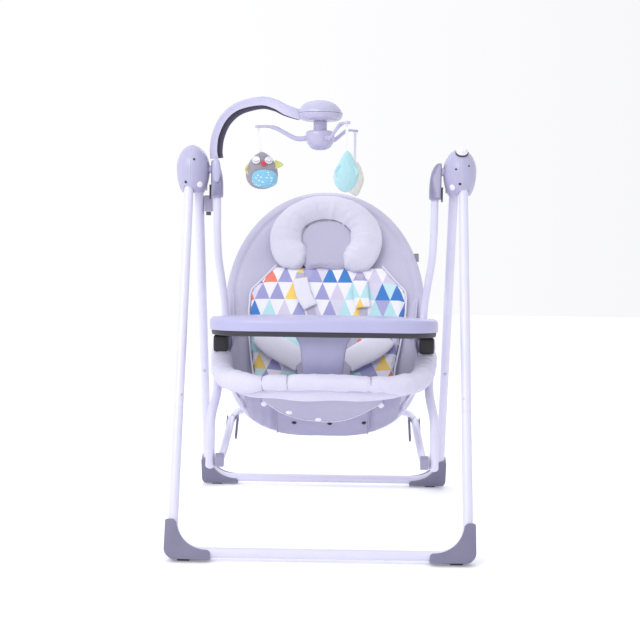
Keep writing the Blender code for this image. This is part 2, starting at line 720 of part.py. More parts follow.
def make_seat_leg(side):
    sign = SIDES[side]
    hub = disc("seat_leg_" + side, (sign * (DOCK_OUTER_X + GAP), DOCK_Y, DOCK_Z),
               (sign * SEAT_HUB_OUTER_X, DOCK_Y, DOCK_Z), DOCK_RADIUS, 20, 0.003)
    route = [(0.2536, DOCK_Y, DOCK_Z), (0.2536, -0.034, 0.3780), (0.2480, -0.075, 0.3520),
             (0.2465, -0.115, 0.3220), (0.2545, -0.150, 0.2760), (0.2550, -0.166, 0.2300), (0.2550, -0.171, 0.1660)]
    leg = solid_tube("leg_tube_" + side, smooth_path([(sign * x, y, z) for x, y, z in route], 3),
                     SEAT_LEG_RADIUS, resolution=3)
    keep(join(hub, leg), TUBE_WHITE, 0.3)


def make_runner():
    x, y, z = RUNNER_PIVOT
    half = [(x, y, z), (0.2310, -0.140, 0.1830), (0.2295, -0.100, 0.1920), (0.2250, -0.020, 0.2240),
            (0.2240, 0.050, 0.2360), (0.2110, 0.120, 0.2420), (0.1780, 0.157, 0.2420),
            (0.1100, 0.170, 0.2420), (0.0000, 0.174, 0.2420)]
    frame = solid_tube("runner_frame", smooth_path(mirrored(half), 2), ARM_RADIUS, resolution=2)
    for side, sign in SIDES.items():
        join(frame, disc("runner_disc_" + side, (sign * 0.2240, y, z), (sign * 0.2427, y, z), 0.016, 24, 0.001))
        make_kickstand(side)
    keep(frame, TUBE_WHITE, 0.3)


def make_kickstand(side):
    sign = SIDES[side]
    pivot = Vector((0, 0.05, 0.236))
    tip = Vector((0, 0.002, 0.2015))
    inner, outer = sign * 0.2080, sign * 0.2135
    bar = disc("kickstand_" + side, pivot + Vector((inner, 0, 0)), pivot + Vector((outer, 0, 0)), 0.009, 20)
    along = (tip - pivot).normalized()
    middle = (tip + pivot) / 2 + Vector(((inner + outer) / 2, 0, 0))
    strip = block("kick_strip_" + side, (-0.00275, -0.0055, -0.029), (0.00275, 0.0055, 0.029), 0.001, 1)
    strip.matrix_world = Matrix.Translation(middle) @ Matrix.Rotation(
        math.atan2(-along.y, along.z), 4, "X")
    keep(join(bar, strip), FOOT_GREY, 0.5)


# Tray

def tray_path():
    half = [(0.2270, -0.062, -0.012), (0.2260, -0.085, -0.0105), (0.2130, -0.128, -0.008),
            (0.1750, -0.166, -0.004), (0.1150, -0.187, -0.001), (0.0000, -0.195, 0)]
    return smooth_path(mirrored(half), 3)


def tray_half(share):
    return mix([0.026, 0.034, 0.044, 0.049, 0.050, 0.049, 0.044, 0.034, 0.026], share)


def tray_top_section(share):
    half = tray_half(share)
    top, skirt, wall = TRAY_TOP_Z, TRAY_SKIRT_Z, 0.003
    outer = [(-half, top - wall), (-half, top - 0.001), (-half + 0.003, top), (half - 0.014, top),
             (half - 0.005, top - 0.004), (half, top - 0.013), (half, skirt)]
    inner = [(half - wall, skirt), (half - wall, top - 0.0135), (half - 0.0075, top - 0.0065),
             (half - 0.015, top - wall)]
    return outer + inner


def tray_base_section(share):
    half = tray_half(share)
    return [(-half + 0.001, TRAY_UNDER_Z), (half - 0.007, TRAY_UNDER_Z), (half - 0.0035, TRAY_UNDER_Z + 0.004),
            (half - 0.0035, TRAY_TOP_Z - 0.0145), (half - 0.0085, TRAY_TOP_Z - 0.0075),
            (half - 0.0155, TRAY_TOP_Z - 0.0035), (-half + 0.001, TRAY_TOP_Z - 0.0035)]


def make_tray():
    path = tray_path()
    keep(sweep("tray_top", path, tray_top_section, (0, 0, 1)), HUB_GREY, 0.35)
    keep(sweep("tray_base", path, tray_base_section, (0, 0, 1)), DARK, 0.5)
    for side, sign in SIDES.items():
        inner, outer = sorted((sign * 0.2290, sign * 0.2560))
        latch = block("tray_latch_" + side, (inner, -0.098, 0.4225), (outer, -0.064, 0.4555), 0.003)
        keep(latch, DARK, 0.5)

    def post_section(share):
        half = mix([0.050, 0.046, 0.043, 0.041], share)
        thick = mix([0.013, 0.011, 0.010, 0.009], share)
        return [(half * math.cos(a), math.copysign(abs(math.sin(a)) ** 0.6, math.sin(a)) * thick)
                for a in (2 * math.pi * i / 20 for i in range(20))]

    post = sweep("crotch_post", smooth_path([(0, -0.199, TRAY_UNDER_Z - 2 * GAP), (0, -0.199, 0.430),
                                             (0, -0.198, 0.390), (0, -0.196, 0.354)], 2),
                 post_section, (0, 1, 0))
    keep(post, HUB_GREY, 0.4)


def build():
    for frame in ("front", "rear"):
        make_base(frame)
        for side in SIDES:
            make_leg(frame, side)
            make_foot(frame, side)
    for side in SIDES:
        make_hub(side)
        make_arm(side)
        make_seat_leg(side)
    make_dial()
    make_drive()
    make_power_inlet()
    make_mobile_arm()
    make_rotor()
    make_toy("owl_toy", MOBILE_ARMS["owl"], (0.039, 0.021, 0.0435), 0.053, (0.4, 0.38, 0.5))
    make_toy("bird_toy", MOBILE_ARMS["bird"], (0.026, 0.016, 0.0455), 0.055, (0.5, 0.75, 0.8))
    make_toy("cloud_toy", MOBILE_ARMS["cloud"], (0.024, 0.014, 0.0440), 0.066, (0.8, 0.82, 0.85))
    make_ring()
    make_rim()
    make_seat_soft()
    make_runner()
    make_tray()


clear_scene()
parts = collection("baby_swing")
cutters = collection("cutters", hidden=True)
build()
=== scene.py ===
import json
import math

import bmesh
import bpy
from mathutils import Matrix, Vector, noise


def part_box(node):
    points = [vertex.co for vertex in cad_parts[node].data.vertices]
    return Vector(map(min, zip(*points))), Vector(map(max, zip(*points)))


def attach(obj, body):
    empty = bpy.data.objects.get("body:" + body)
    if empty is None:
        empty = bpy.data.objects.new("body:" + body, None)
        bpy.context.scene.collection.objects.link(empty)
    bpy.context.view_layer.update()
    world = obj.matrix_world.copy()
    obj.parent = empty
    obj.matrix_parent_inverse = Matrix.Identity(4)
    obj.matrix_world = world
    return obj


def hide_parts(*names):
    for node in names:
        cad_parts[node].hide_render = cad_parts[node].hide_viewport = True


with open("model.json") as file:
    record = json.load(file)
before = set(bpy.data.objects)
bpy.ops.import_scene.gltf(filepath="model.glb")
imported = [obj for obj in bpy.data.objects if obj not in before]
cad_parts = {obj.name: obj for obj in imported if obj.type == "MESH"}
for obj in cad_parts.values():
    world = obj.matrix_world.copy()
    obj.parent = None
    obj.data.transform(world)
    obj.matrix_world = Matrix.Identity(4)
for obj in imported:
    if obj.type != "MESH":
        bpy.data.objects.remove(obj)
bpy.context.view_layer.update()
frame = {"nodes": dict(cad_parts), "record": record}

sides = {"left": -1, "right": 1}
ridesOn = {}
for bodyName, nodeNames in frame["record"]["behaviour"]["bodies"].items():
    for nodeName in nodeNames:
        ridesOn[nodeName] = bodyName


# small tools: colours, nodes, paths

def hexColour(text):
    # sRGB hex to the linear values that Blender's shaders use
    values = [int(text[i:i + 2], 16) / 255 for i in (1, 3, 5)]
    return tuple(v / 12.92 if v <= 0.04045 else ((v + 0.055) / 1.055) ** 2.4 for v in values) + (1.0,)


def addNode(tree, kind, inputs=None, **settings):
    # a value goes into the socket, a (node, output) pair is linked to it
    node = tree.nodes.new(kind)
    for key, value in settings.items():
        setattr(node, key, value)
    for key, value in (inputs or {}).items():
        if isinstance(value, tuple) and hasattr(value[0], "outputs"):
            tree.links.new(value[0].outputs[value[1]], node.inputs[key])
        else:
            node.inputs[key].default_value = value
    return node


def newMaterial(name):
    material = bpy.data.materials.new(name)
    material.use_nodes = True
    tree = material.node_tree
    return material, tree, tree.nodes["Principled BSDF"]


def smoothPath(points, steps=4, closed=False):
    # Catmull-Rom through the points
    points = [Vector(p) for p in points]
    if closed:
        ends = [points[-1]] + points + points[:2]
    else:
        ends = [2 * points[0] - points[1]] + points + [2 * points[-1] - points[-2]]
    path = []
    for a, b, c, d in zip(ends, ends[1:], ends[2:], ends[3:]):
        for step in range(steps):
            t = step / steps
            path.append(0.5 * (2 * b + (c - a) * t + (2 * a - 5 * b + 4 * c - d) * t ** 2
                               + (3 * b - a - 3 * c + d) * t ** 3))
    return path if closed else path + [points[-1]]


def roundedPath(corners, radius, steps=10):
    corners = [Vector(c) for c in corners]
    path = [corners[0]]
    for before, here, after in zip(corners, corners[1:], corners[2:]):
        back, ahead = (before - here).normalized(), (after - here).normalized()
        half = back.angle(ahead) / 2
        cutBack = radius / math.tan(half)
        centre = here + (back + ahead).normalized() * (radius / math.sin(half))
        start = here + back * cutBack - centre
        axis = start.cross(here + ahead * cutBack - centre).normalized()
        turn = math.pi - 2 * half
        for step in range(steps + 1):
            path.append(centre + Matrix.Rotation(turn * step / steps, 3, axis) @ start)
    return path + [corners[-1]]


def mirroredPath(points):
    left = [Vector((-p[0], p[1], p[2])) for p in points]
    return left + [Vector(p) for p in reversed(points[:-1])]


def mix(values, share):
    place = min(max(share, 0), 1) * (len(values) - 1)
    low = min(int(place), len(values) - 2)
    return values[low] + (values[low + 1] - values[low]) * (place - low)


def smoothStep(low, high, value):
    t = min(max((value - low) / (high - low), 0), 1)
    return t * t * (3 - 2 * t)


def heading(path, index):
    # the unit direction of the path at one of its points
    return (path[min(index + 1, len(path) - 1)] - path[max(index - 1, 0)]).normalized()


def alongPath(path, share):
    # the point at this share of the path, and the index just before it
    spot = min(max(share, 0), 1) * (len(path) - 1)
    low = min(int(spot), len(path) - 2)
    return path[low].lerp(path[low + 1], spot - low), low


def turns(count):
    return [2 * math.pi * k / count for k in range(count)]


def ripple(point, size, seed=0.0):
    # smooth noise from -1 to 1, with bumps about size metres across
    return noise.noise(Vector(point) / size + Vector((seed, seed * 1.7, seed * 0.6)))


# mesh makers

def finishMesh(name, shape, material=None, angle=40):
    bmesh.ops.recalc_face_normals(shape, faces=shape.faces)
    mesh = bpy.data.meshes.new(name)
    shape.to_mesh(mesh)
    shape.free()
    mesh.shade_smooth()
    mesh.set_sharp_from_angle(angle=math.radians(angle))
    piece = bpy.data.objects.new(name, mesh)
    bpy.context.scene.collection.objects.link(piece)
    if material:
        mesh.materials.append(material)
    return piece


def tubeMesh(name, path, radius, material, closed=False, around=28, squash=None):
    # a round bar along the path; radius may be a number or a function of (share, angle)
    path = [Vector(p) for p in path]
    count = len(path)
    shape = bmesh.new()
    rings = []
    beside = None
    for i, place in enumerate(path):
        if closed:
            along = (path[(i + 1) % count] - path[i - 1]).normalized()
        else:
            along = heading(path, i)
        if beside is None:
            beside = along.orthogonal().normalized()
            if abs(along.x) < 0.9:
                beside = along.cross(Vector((1, 0, 0))).normalized()
        beside = (beside - along * along.dot(beside)).normalized()
        up = along.cross(beside)
        ring = []
        for k in range(around):
            angle = 2 * math.pi * k / around
            size = radius(i / (count - 1), angle) if callable(radius) else radius
            ring.append(shape.verts.new(place + beside * math.cos(angle) * size
                                        + up * math.sin(angle) * size * (squash or 1)))
        rings.append(ring)
    pairs = list(zip(rings, rings[1:])) + ([(rings[-1], rings[0])] if closed else [])
    for ring, following in pairs:
        offset = 0
        if closed and following is rings[0]:
            offset = min(range(around), key=lambda o: (ring[0].co - following[o].co).length)
        for k in range(around):
            n = (k + 1) % around
            shape.faces.new((ring[k], ring[n], following[(n + offset) % around],
                             following[(k + offset) % around]))
    if not closed:
        for ring, place, inner in ((rings[0], path[0], path[1]), (rings[-1], path[-1], path[-2])):
            face = shape.faces.new(ring)
            bmesh.ops.inset_region(shape, faces=[face], thickness=0.0008, depth=0)
            outwards = (place - inner).normalized()
            for vert in face.verts:
                vert.co += outwards * 0.0006
    return finishMesh(name, shape, material, 50)


def latheMesh(name, profile, material, centre=(0, 0, 0), axis=(0, 0, 1), around=48, angle=35):
    # (radius, height) turned about the axis; smooth between the points that are close together
    turn = Vector((0, 0, 1)).rotation_difference(Vector(axis)).to_matrix()
    shape = bmesh.new()
    rings = []
    for radius, height in profile:
        if radius < 1e-6:
            rings.append([shape.verts.new((0, 0, height))])
        else:
            rings.append([shape.verts.new((radius * math.cos(2 * math.pi * k / around),
                                           radius * math.sin(2 * math.pi * k / around), height))
                          for k in range(around)])
    for ring, following in zip(rings, rings[1:]):
        for k in range(around):
            n = (k + 1) % around
            corners = [ring[k % len(ring)], ring[n % len(ring)],
                       following[n % len(following)], following[k % len(following)]]
            corners = list(dict.fromkeys(corners))
            if len(corners) > 2:
                shape.faces.new(corners)
    for ring in (rings[0], rings[-1]):
        if len(ring) > 1:
            shape.faces.new(ring)
    for vert in shape.verts:
        vert.co = Vector(centre) + turn @ vert.co
    return finishMesh(name, shape, material, angle)


def boxMesh(name, low, high, material, rounding=0.002, segments=3, turn=None):
    low, high = Vector(low), Vector(high)
    shape = bmesh.new()
    bmesh.ops.create_cube(shape, size=1, matrix=Matrix.Diagonal((*(high - low), 1)))
    bmesh.ops.bevel(shape, geom=shape.edges[:], offset=rounding, segments=segments, profile=0.5,
                    affect="EDGES", clamp_overlap=True)
    for vert in shape.verts:
        vert.co = (low + high) / 2 + (turn @ vert.co if turn else vert.co)
    return finishMesh(name, shape, material, 30)


def ballMesh(name, centre, half, material, turn=None, power=1.0, around=40, rings=24):
    shape = bmesh.new()
    bmesh.ops.create_uvsphere(shape, u_segments=around, v_segments=rings, radius=1)
    for vert in shape.verts:
        place = Vector([math.copysign(abs(c) ** power, c) * h for c, h in zip(vert.co, half)])
        vert.co = Vector(centre) + (turn @ place if turn else place)
    return finishMesh(name, shape, material, 180)


def sweepMesh(name, path, sectionAt, side, material, angle=35):
    # a closed outline, in (across, side), carried along the path
    shape = bmesh.new()
    rings = []
    for index, place in enumerate(path):
        along = heading(path, index)
        beside = (Vector(side) - along * along.dot(Vector(side))).normalized()
        across = along.cross(beside)
        rings.append([shape.verts.new(place + across * a + beside * b)
                      for a, b in sectionAt(index / (len(path) - 1))])
    for ring, following in zip(rings, rings[1:]):
        for i in range(len(ring)):
            j = (i + 1) % len(ring)
            shape.faces.new((ring[i], ring[j], following[j], following[i]))
    shape.faces.new(rings[0])
    shape.faces.new(rings[-1])
    return finishMesh(name, shape, material, angle)


def plateMesh(name, outline, placeAt, thickness, material, rounding=0.001, segments=2, angle=35):
    # an outline of (a, b) made into a plate: placeAt(a, b, depth) gives the point
    shape = bmesh.new()
    layers = [[shape.verts.new(placeAt(a, b, depth)) for a, b in outline]
              for depth in (-thickness / 2, thickness / 2)]
    caps = [shape.faces.new(layer) for layer in layers]
    for i in range(len(outline)):
        j = (i + 1) % len(outline)
        shape.faces.new((layers[0][i], layers[0][j], layers[1][j], layers[1][i]))
    bmesh.ops.recalc_face_normals(shape, faces=shape.faces)
    if rounding:
        rims = list({e for face in caps for e in face.edges})
        bmesh.ops.bevel(shape, geom=rims, offset=rounding, segments=segments, profile=0.5,
                        affect="EDGES", clamp_overlap=True)
    return finishMesh(name, shape, material, angle)


def closedSkin(name, surfaces, across, along, uvAt, material, merge=None):
    # two surfaces over one grid, closed round their edges; surface(i, j) gives the points
    # and uvAt(point, i, j) the UVs, in metres
    shape = bmesh.new()
    uvLayer = shape.loops.layers.uv.new("UVMap")
    spot = {}
    layers = []
    for surface in surfaces:
        layer = [[shape.verts.new(surface(i, j)) for i in range(across + 1)] for j in range(along + 1)]
        for j, row in enumerate(layer):
            for i, vert in enumerate(row):
                spot[vert] = uvAt(vert.co, i, j)
        layers.append(layer)
        for near, far in zip(layer, layer[1:]):
            for i in range(across):
                shape.faces.new((near[i], near[i + 1], far[i + 1], far[i]))
    front, back = layers
    for i in range(across):
        for j in (0, -1):
            shape.faces.new((front[j][i], front[j][i + 1], back[j][i + 1], back[j][i]))
    for j in range(along):
        for i in (0, -1):
            shape.faces.new((front[j][i], front[j + 1][i], back[j + 1][i], back[j][i]))
    for face in shape.faces:
        for loop in face.loops:
            loop[uvLayer].uv = spot[loop.vert]
    if merge:
        bmesh.ops.remove_doubles(shape, verts=shape.verts, dist=merge)
    return finishMesh(name, shape, material, 60)


def clothPanel(name, placeAt, across, along, thickness, material, sizeAt=None):
    # a sheet over placeAt(u, v), u from -1 to 1, v from 0 to 1, thickened to both sides
    grid = [[Vector(placeAt(2 * i / across - 1, j / along)) for i in range(across + 1)]
            for j in range(along + 1)]

    def skin(sign):
        def surface(i, j):
            du = grid[j][min(i + 1, across)] - grid[j][max(i - 1, 0)]
            dv = grid[min(j + 1, along)][i] - grid[max(j - 1, 0)][i]
            thick = sizeAt(2 * i / across - 1, j / along) if sizeAt else thickness
            return grid[j][i] + du.cross(dv).normalized() * (thick / 2) * sign
        return surface
    return closedSkin(name, (skin(1), skin(-1)), across, along,
                      lambda point, i, j: (grid[j][i].x, j / along), material)


def shellMesh(name, frontAt, backAt, across, along, material):
    # a filled piece between two surfaces over the same (u, v)
    surfaces = [lambda i, j, at=at: at(2 * i / across - 1, j / along) for at in (frontAt, backAt)]
    return closedSkin(name, surfaces, across, along, lambda point, i, j: (point.x, point.z), material,
                      0.00002)


def subdivided(piece, levels=1):
    modifier = piece.modifiers.new("smooth", "SUBSURF")
    modifier.levels = modifier.render_levels = levels
    return piece


def applied(piece):
    # every modifier baked into the mesh
    graph = bpy.context.evaluated_depsgraph_get()
    mesh = bpy.data.meshes.new_from_object(piece.evaluated_get(graph))
    piece.modifiers.clear()
    piece.data = mesh
    return piece


def cutAway(piece, *cutters, operation="DIFFERENCE"):
    for cutter in cutters:
        modifier = piece.modifiers.new("cut", "BOOLEAN")
        modifier.operation = operation
        modifier.solver = "EXACT"
        modifier.object = cutter
    applied(piece)
    for cutter in cutters:
        bpy.data.objects.remove(cutter, do_unlink=True)
    piece.data.shade_smooth()
    piece.data.set_sharp_from_angle(angle=math.radians(35))
    return piece


def joined(name, pieces):
    # several meshes made one, with their own materials kept
    shape = bmesh.new()
    materials = []
    for piece in pieces:
        start = len(shape.faces)
        shape.from_mesh(piece.data)
        shape.faces.ensure_lookup_table()
        slots = []
        for material in piece.data.materials:
            if material not in materials:
                materials.append(material)
            slots.append(materials.index(material))
        for face in shape.faces[start:]:
            face.material_index = slots[face.material_index] if slots else 0
    mesh = bpy.data.meshes.new(name)
    shape.to_mesh(mesh)
    shape.free()
    for material in materials:
        mesh.materials.append(material)
    for piece in pieces:
        bpy.data.objects.remove(piece, do_unlink=True)
    made = bpy.data.objects.new(name, mesh)
    bpy.context.scene.collection.objects.link(made)
    return made


def stuffed(piece, voxel=0.005, pressure=4.0, cap=0.006, frames=20, levels=1, held=None):
    # filled like a real cushion: remeshed, blown up by Cloth, held within cap of where it began.
    # The seams keep the outline, so only the swelling and a little sinking are taken over.
    remesh = piece.modifiers.new("remesh", "REMESH")
    remesh.mode = "VOXEL"
    remesh.voxel_size = voxel
    applied(piece)
    before = [(v.co.copy(), v.normal.copy()) for v in piece.data.vertices]
    group = piece.vertex_groups.new(name="held")
    for vert in piece.data.vertices:
        if held and held(vert.co):
            group.add([vert.index], 1.0, "REPLACE")
    cloth = piece.modifiers.new("cloth", "CLOTH")
    settings = cloth.settings
    settings.quality = 5
    settings.mass = 0.15
    settings.tension_stiffness = settings.compression_stiffness = 12
    settings.shear_stiffness = 6
    settings.bending_stiffness = 0.4
    settings.use_pressure = True
    settings.uniform_pressure_force = pressure
    settings.effector_weights.gravity = 0
    if held:
        settings.vertex_group_mass = "held"
    cloth.collision_settings.use_collision = False
    cloth.point_cache.frame_start = 1
    cloth.point_cache.frame_end = frames
    scene = bpy.context.scene
    for step in range(1, frames + 1):
        scene.frame_set(step)
    graph = bpy.context.evaluated_depsgraph_get()
    swollen = [v.co.copy() for v in piece.evaluated_get(graph).data.vertices]
    piece.modifiers.clear()
    for vert, (start, normal), end in zip(piece.data.vertices, before, swollen):
        vert.co = start + normal * min(max((end - start).dot(normal), -0.0012), cap)
    scene.frame_set(1)
    piece.data.shade_smooth()
    return subdivided(piece, levels)


def moved(piece, shift):
    # shift(point, normal) gives each vertex its small move
    applied(piece)
    normals = [v.normal.copy() for v in piece.data.vertices]
    for vert, normal in zip(piece.data.vertices, normals):
        vert.co += shift(vert.co.copy(), normal)
    return piece


def place(piece, body, *nodes, slot=None):
    # rides on the body and stands for the nodes
    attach(piece, body)
    if nodes:
        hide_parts(*nodes)
    return piece


# materials

def coordinates(tree, scale=1.0):
    place = addNode(tree, "ShaderNodeTexCoord")
    return addNode(tree, "ShaderNodeMapping", {"Vector": (place, "Object"), "Scale": (scale,) * 3})


def powderCoatedSteel(name, colour="#DCDAEE"):
    # steel tube with baked polyester powder: satin, with a faint orange-peel
    look = {"peelMm": 2.2, "blotchMm": 60, "shade": "#D2D0E8", "roughness": (0.27, 0.36)}
    material, tree, shader = newMaterial(name)
    where = coordinates(tree)
    blotch = addNode(tree, "ShaderNodeTexNoise", {"Vector": (where, 0), "Scale": 1000 / look["blotchMm"],
                                                  "Detail": 3.0})
    peel = addNode(tree, "ShaderNodeTexNoise", {"Vector": (where, 0), "Scale": 1000 / look["peelMm"],
                                                "Detail": 1.5})
    paint = addNode(tree, "ShaderNodeMix", {0: (blotch, 0), 6: hexColour(colour),
                                            7: hexColour(look["shade"])}, data_type="RGBA")
    gloss = addNode(tree, "ShaderNodeMapRange", {0: (blotch, 0), 3: look["roughness"][0],
                                                 4: look["roughness"][1]})
    bump = addNode(tree, "ShaderNodeBump", {"Height": (peel, 0), "Strength": 0.06, "Distance": 0.0004})
    tree.links.new(paint.outputs[2], shader.inputs["Base Color"])
    tree.links.new(gloss.outputs[0], shader.inputs["Roughness"])
    tree.links.new(bump.outputs[0], shader.inputs["Normal"])
    shader.inputs["Coat Weight"].default_value = 0.25
    shader.inputs["Coat Roughness"].default_value = 0.12
    return material


def mouldedPlastic(name, colour, shade, roughness=0.4, grainMm=0.7, grain=0.12, coat=0.0, wear=0.35):
    # injection-moulded plastic: spark-eroded grain, slightly paler where edges have rubbed
    material, tree, shader = newMaterial(name)
    where = coordinates(tree)
    cloud = addNode(tree, "ShaderNodeTexNoise", {"Vector": (where, 0), "Scale": 28.0, "Detail": 4.0})
    fine = addNode(tree, "ShaderNodeTexNoise", {"Vector": (where, 0), "Scale": 1000 / grainMm,
                                                "Detail": 2.0, "Roughness": 0.6})
    body = addNode(tree, "ShaderNodeMix", {0: (cloud, 0), 6: hexColour(colour), 7: hexColour(shade)},
                   data_type="RGBA")
    shape = addNode(tree, "ShaderNodeNewGeometry")
    edge = addNode(tree, "ShaderNodeMapRange", {0: (shape, "Pointiness"), 1: 0.53, 2: 0.62,
                                                3: 0.0, 4: wear})
    rubbed = addNode(tree, "ShaderNodeMix", {0: (edge, 0), 6: (body, 2), 7: (0.75, 0.74, 0.82, 1.0)},
                     data_type="RGBA")
    gloss = addNode(tree, "ShaderNodeMapRange", {0: (cloud, 0), 1: 0.3, 2: 0.7, 3: roughness - 0.05,
                                                 4: roughness + 0.06})
    bump = addNode(tree, "ShaderNodeBump", {"Height": (fine, 0), "Strength": grain, "Distance": 0.0003})
    tree.links.new(rubbed.outputs[2], shader.inputs["Base Color"])
    tree.links.new(gloss.outputs[0], shader.inputs["Roughness"])
    tree.links.new(bump.outputs[0], shader.inputs["Normal"])
    shader.inputs["Coat Weight"].default_value = coat
    shader.inputs["Coat Roughness"].default_value = 0.15
    return material


def bareMetal(name, colour, roughness=0.3, lineMm=0.4):
    # zinc-plated or drawn metal with fine tool lines
    material, tree, shader = newMaterial(name)
    where = coordinates(tree)
    where.inputs["Scale"].default_value = (1000 / lineMm, 60, 60)
    lines = addNode(tree, "ShaderNodeTexNoise", {"Vector": (where, 0), "Scale": 1.0, "Detail": 3.0})
    tone = addNode(tree, "ShaderNodeMix", {0: (lines, 0), 6: hexColour(colour), 7: (0.35, 0.35, 0.38, 1)},
                   data_type="RGBA")
    gloss = addNode(tree, "ShaderNodeMapRange", {0: (lines, 0), 3: roughness - 0.06, 4: roughness + 0.1})
    bump = addNode(tree, "ShaderNodeBump", {"Height": (lines, 0), "Strength": 0.1, "Distance": 0.0002})
    tree.links.new(tone.outputs[2], shader.inputs["Base Color"])
    tree.links.new(gloss.outputs[0], shader.inputs["Roughness"])
    tree.links.new(bump.outputs[0], shader.inputs["Normal"])
    shader.inputs["Metallic"].default_value = 1.0
    return material


def wovenCloth(name, colour, shade, threadMm=1.1, sheen=0.25, roughness=0.85, crease=0.35, weave=0.35,
               colourFrom=None):
    # plain weave: two sets of threads as crossed waves, with soft slubs and creases.
    # Real threads are about 0.3 mm apart, drawn coarser so that they show.
    material, tree, shader = newMaterial(name)
    where = coordinates(tree)
    scale = 1000 / threadMm / (2 * math.pi) * 2
    warp = addNode(tree, "ShaderNodeTexWave", {"Vector": (where, 0), "Scale": scale / 2, "Distortion": 0.6,
                                               "Detail": 1.0}, bands_direction="X")
    weft = addNode(tree, "ShaderNodeTexWave", {"Vector": (where, 0), "Scale": scale / 2, "Distortion": 0.6,
                                               "Detail": 1.0}, bands_direction="Z")
    threads = addNode(tree, "ShaderNodeMath", {0: (warp, 1), 1: (weft, 1)}, operation="MAXIMUM")
    soft = addNode(tree, "ShaderNodeTexNoise", {"Vector": (where, 0), "Scale": 14.0, "Detail": 5.0,
                                                "Roughness": 0.55})
    slub = addNode(tree, "ShaderNodeTexNoise", {"Vector": (where, 0), "Scale": 300.0, "Detail": 2.0})
    tone = addNode(tree, "ShaderNodeMix", {0: (soft, 0), 6: hexColour(colour), 7: hexColour(shade)},
                   data_type="RGBA")
    if colourFrom:
        tone = colourFrom(tree, tone)
    pits = addNode(tree, "ShaderNodeMapRange", {0: (threads, 0), 3: 0.90, 4: 1.02})
    worked = addNode(tree, "ShaderNodeMix", {0: 1.0, 6: (tone, 2), 7: (pits, 0)}, data_type="RGBA",
                     blend_type="MULTIPLY")
    fluff = addNode(tree, "ShaderNodeMapRange", {0: (slub, 0), 3: 0.94, 4: 1.05})
    final = addNode(tree, "ShaderNodeMix", {0: 1.0, 6: (worked, 2), 7: (fluff, 0)}, data_type="RGBA",
                    blend_type="MULTIPLY")
    creases = addNode(tree, "ShaderNodeBump", {"Height": (soft, 0), "Strength": crease, "Distance": 0.004})
    bump = addNode(tree, "ShaderNodeBump", {"Height": (threads, 0), "Strength": weave, "Distance": 0.0003,
                                            "Normal": (creases, 0)})
    tree.links.new(final.outputs[2], shader.inputs["Base Color"])
    tree.links.new(bump.outputs[0], shader.inputs["Normal"])
    shader.inputs["Roughness"].default_value = roughness
    shader.inputs["Sheen Weight"].default_value = sheen
    shader.inputs["Sheen Roughness"].default_value = 0.5
    return material


def shortPlush(name, colour, shade, pileMm=1.6, spots=None):
    # knitted pile: tufts a millimetre or two across that catch the light at the edges
    material, tree, shader = newMaterial(name)
    where = coordinates(tree)
    tuft = addNode(tree, "ShaderNodeTexVoronoi", {"Vector": (where, 0), "Scale": 1000 / pileMm})
    soft = addNode(tree, "ShaderNodeTexNoise", {"Vector": (where, 0), "Scale": 120.0, "Detail": 4.0})
    tone = addNode(tree, "ShaderNodeMix", {0: (soft, 0), 6: hexColour(colour), 7: hexColour(shade)},
                   data_type="RGBA")
    if spots:
        dots = addNode(tree, "ShaderNodeTexVoronoi", {"Vector": (where, 0), "Scale": 1000 / spots["everyMm"]})
        inside = addNode(tree, "ShaderNodeMath", {0: (dots, 0), 1: 0.28}, operation="LESS_THAN")
        tone = addNode(tree, "ShaderNodeMix", {0: (inside, 0), 6: (tone, 2), 7: hexColour(spots["colour"])},
                       data_type="RGBA")
    fibre = addNode(tree, "ShaderNodeMapRange", {0: (tuft, 0), 1: 0.0, 2: 0.7, 3: 1.06, 4: 0.86})
    final = addNode(tree, "ShaderNodeMix", {0: 1.0, 6: (tone, 2), 7: (fibre, 0)}, data_type="RGBA",
                    blend_type="MULTIPLY")
    height = addNode(tree, "ShaderNodeMath", {0: 1.0, 1: (tuft, 0)}, operation="SUBTRACT")
    bump = addNode(tree, "ShaderNodeBump", {"Height": (height, 0), "Strength": 0.6, "Distance": 0.0009})
    tree.links.new(final.outputs[2], shader.inputs["Base Color"])
    tree.links.new(bump.outputs[0], shader.inputs["Normal"])
    shader.inputs["Roughness"].default_value = 0.95
    shader.inputs["Sheen Weight"].default_value = 0.5
    shader.inputs["Sheen Roughness"].default_value = 0.6
    return material


trianglePrint = {
    "baseMm": 37, "heightMm": 49,  # one triangle of the print
    "upInks": [("#9A9AD0", 0.30), ("#B5E2EA", 0.54), ("#0074C8", 0.69), ("#F07355", 0.77),
               ("#F8D463", 0.86), ("#D3CDE6", 1.0)],
    "downInks": [("#F1F0FC", 0.62), ("#D9D4EA", 0.78), ("#C3E6EC", 0.88), ("#A5A3D4", 0.97),
                 ("#0A78C8", 1.0)],
}


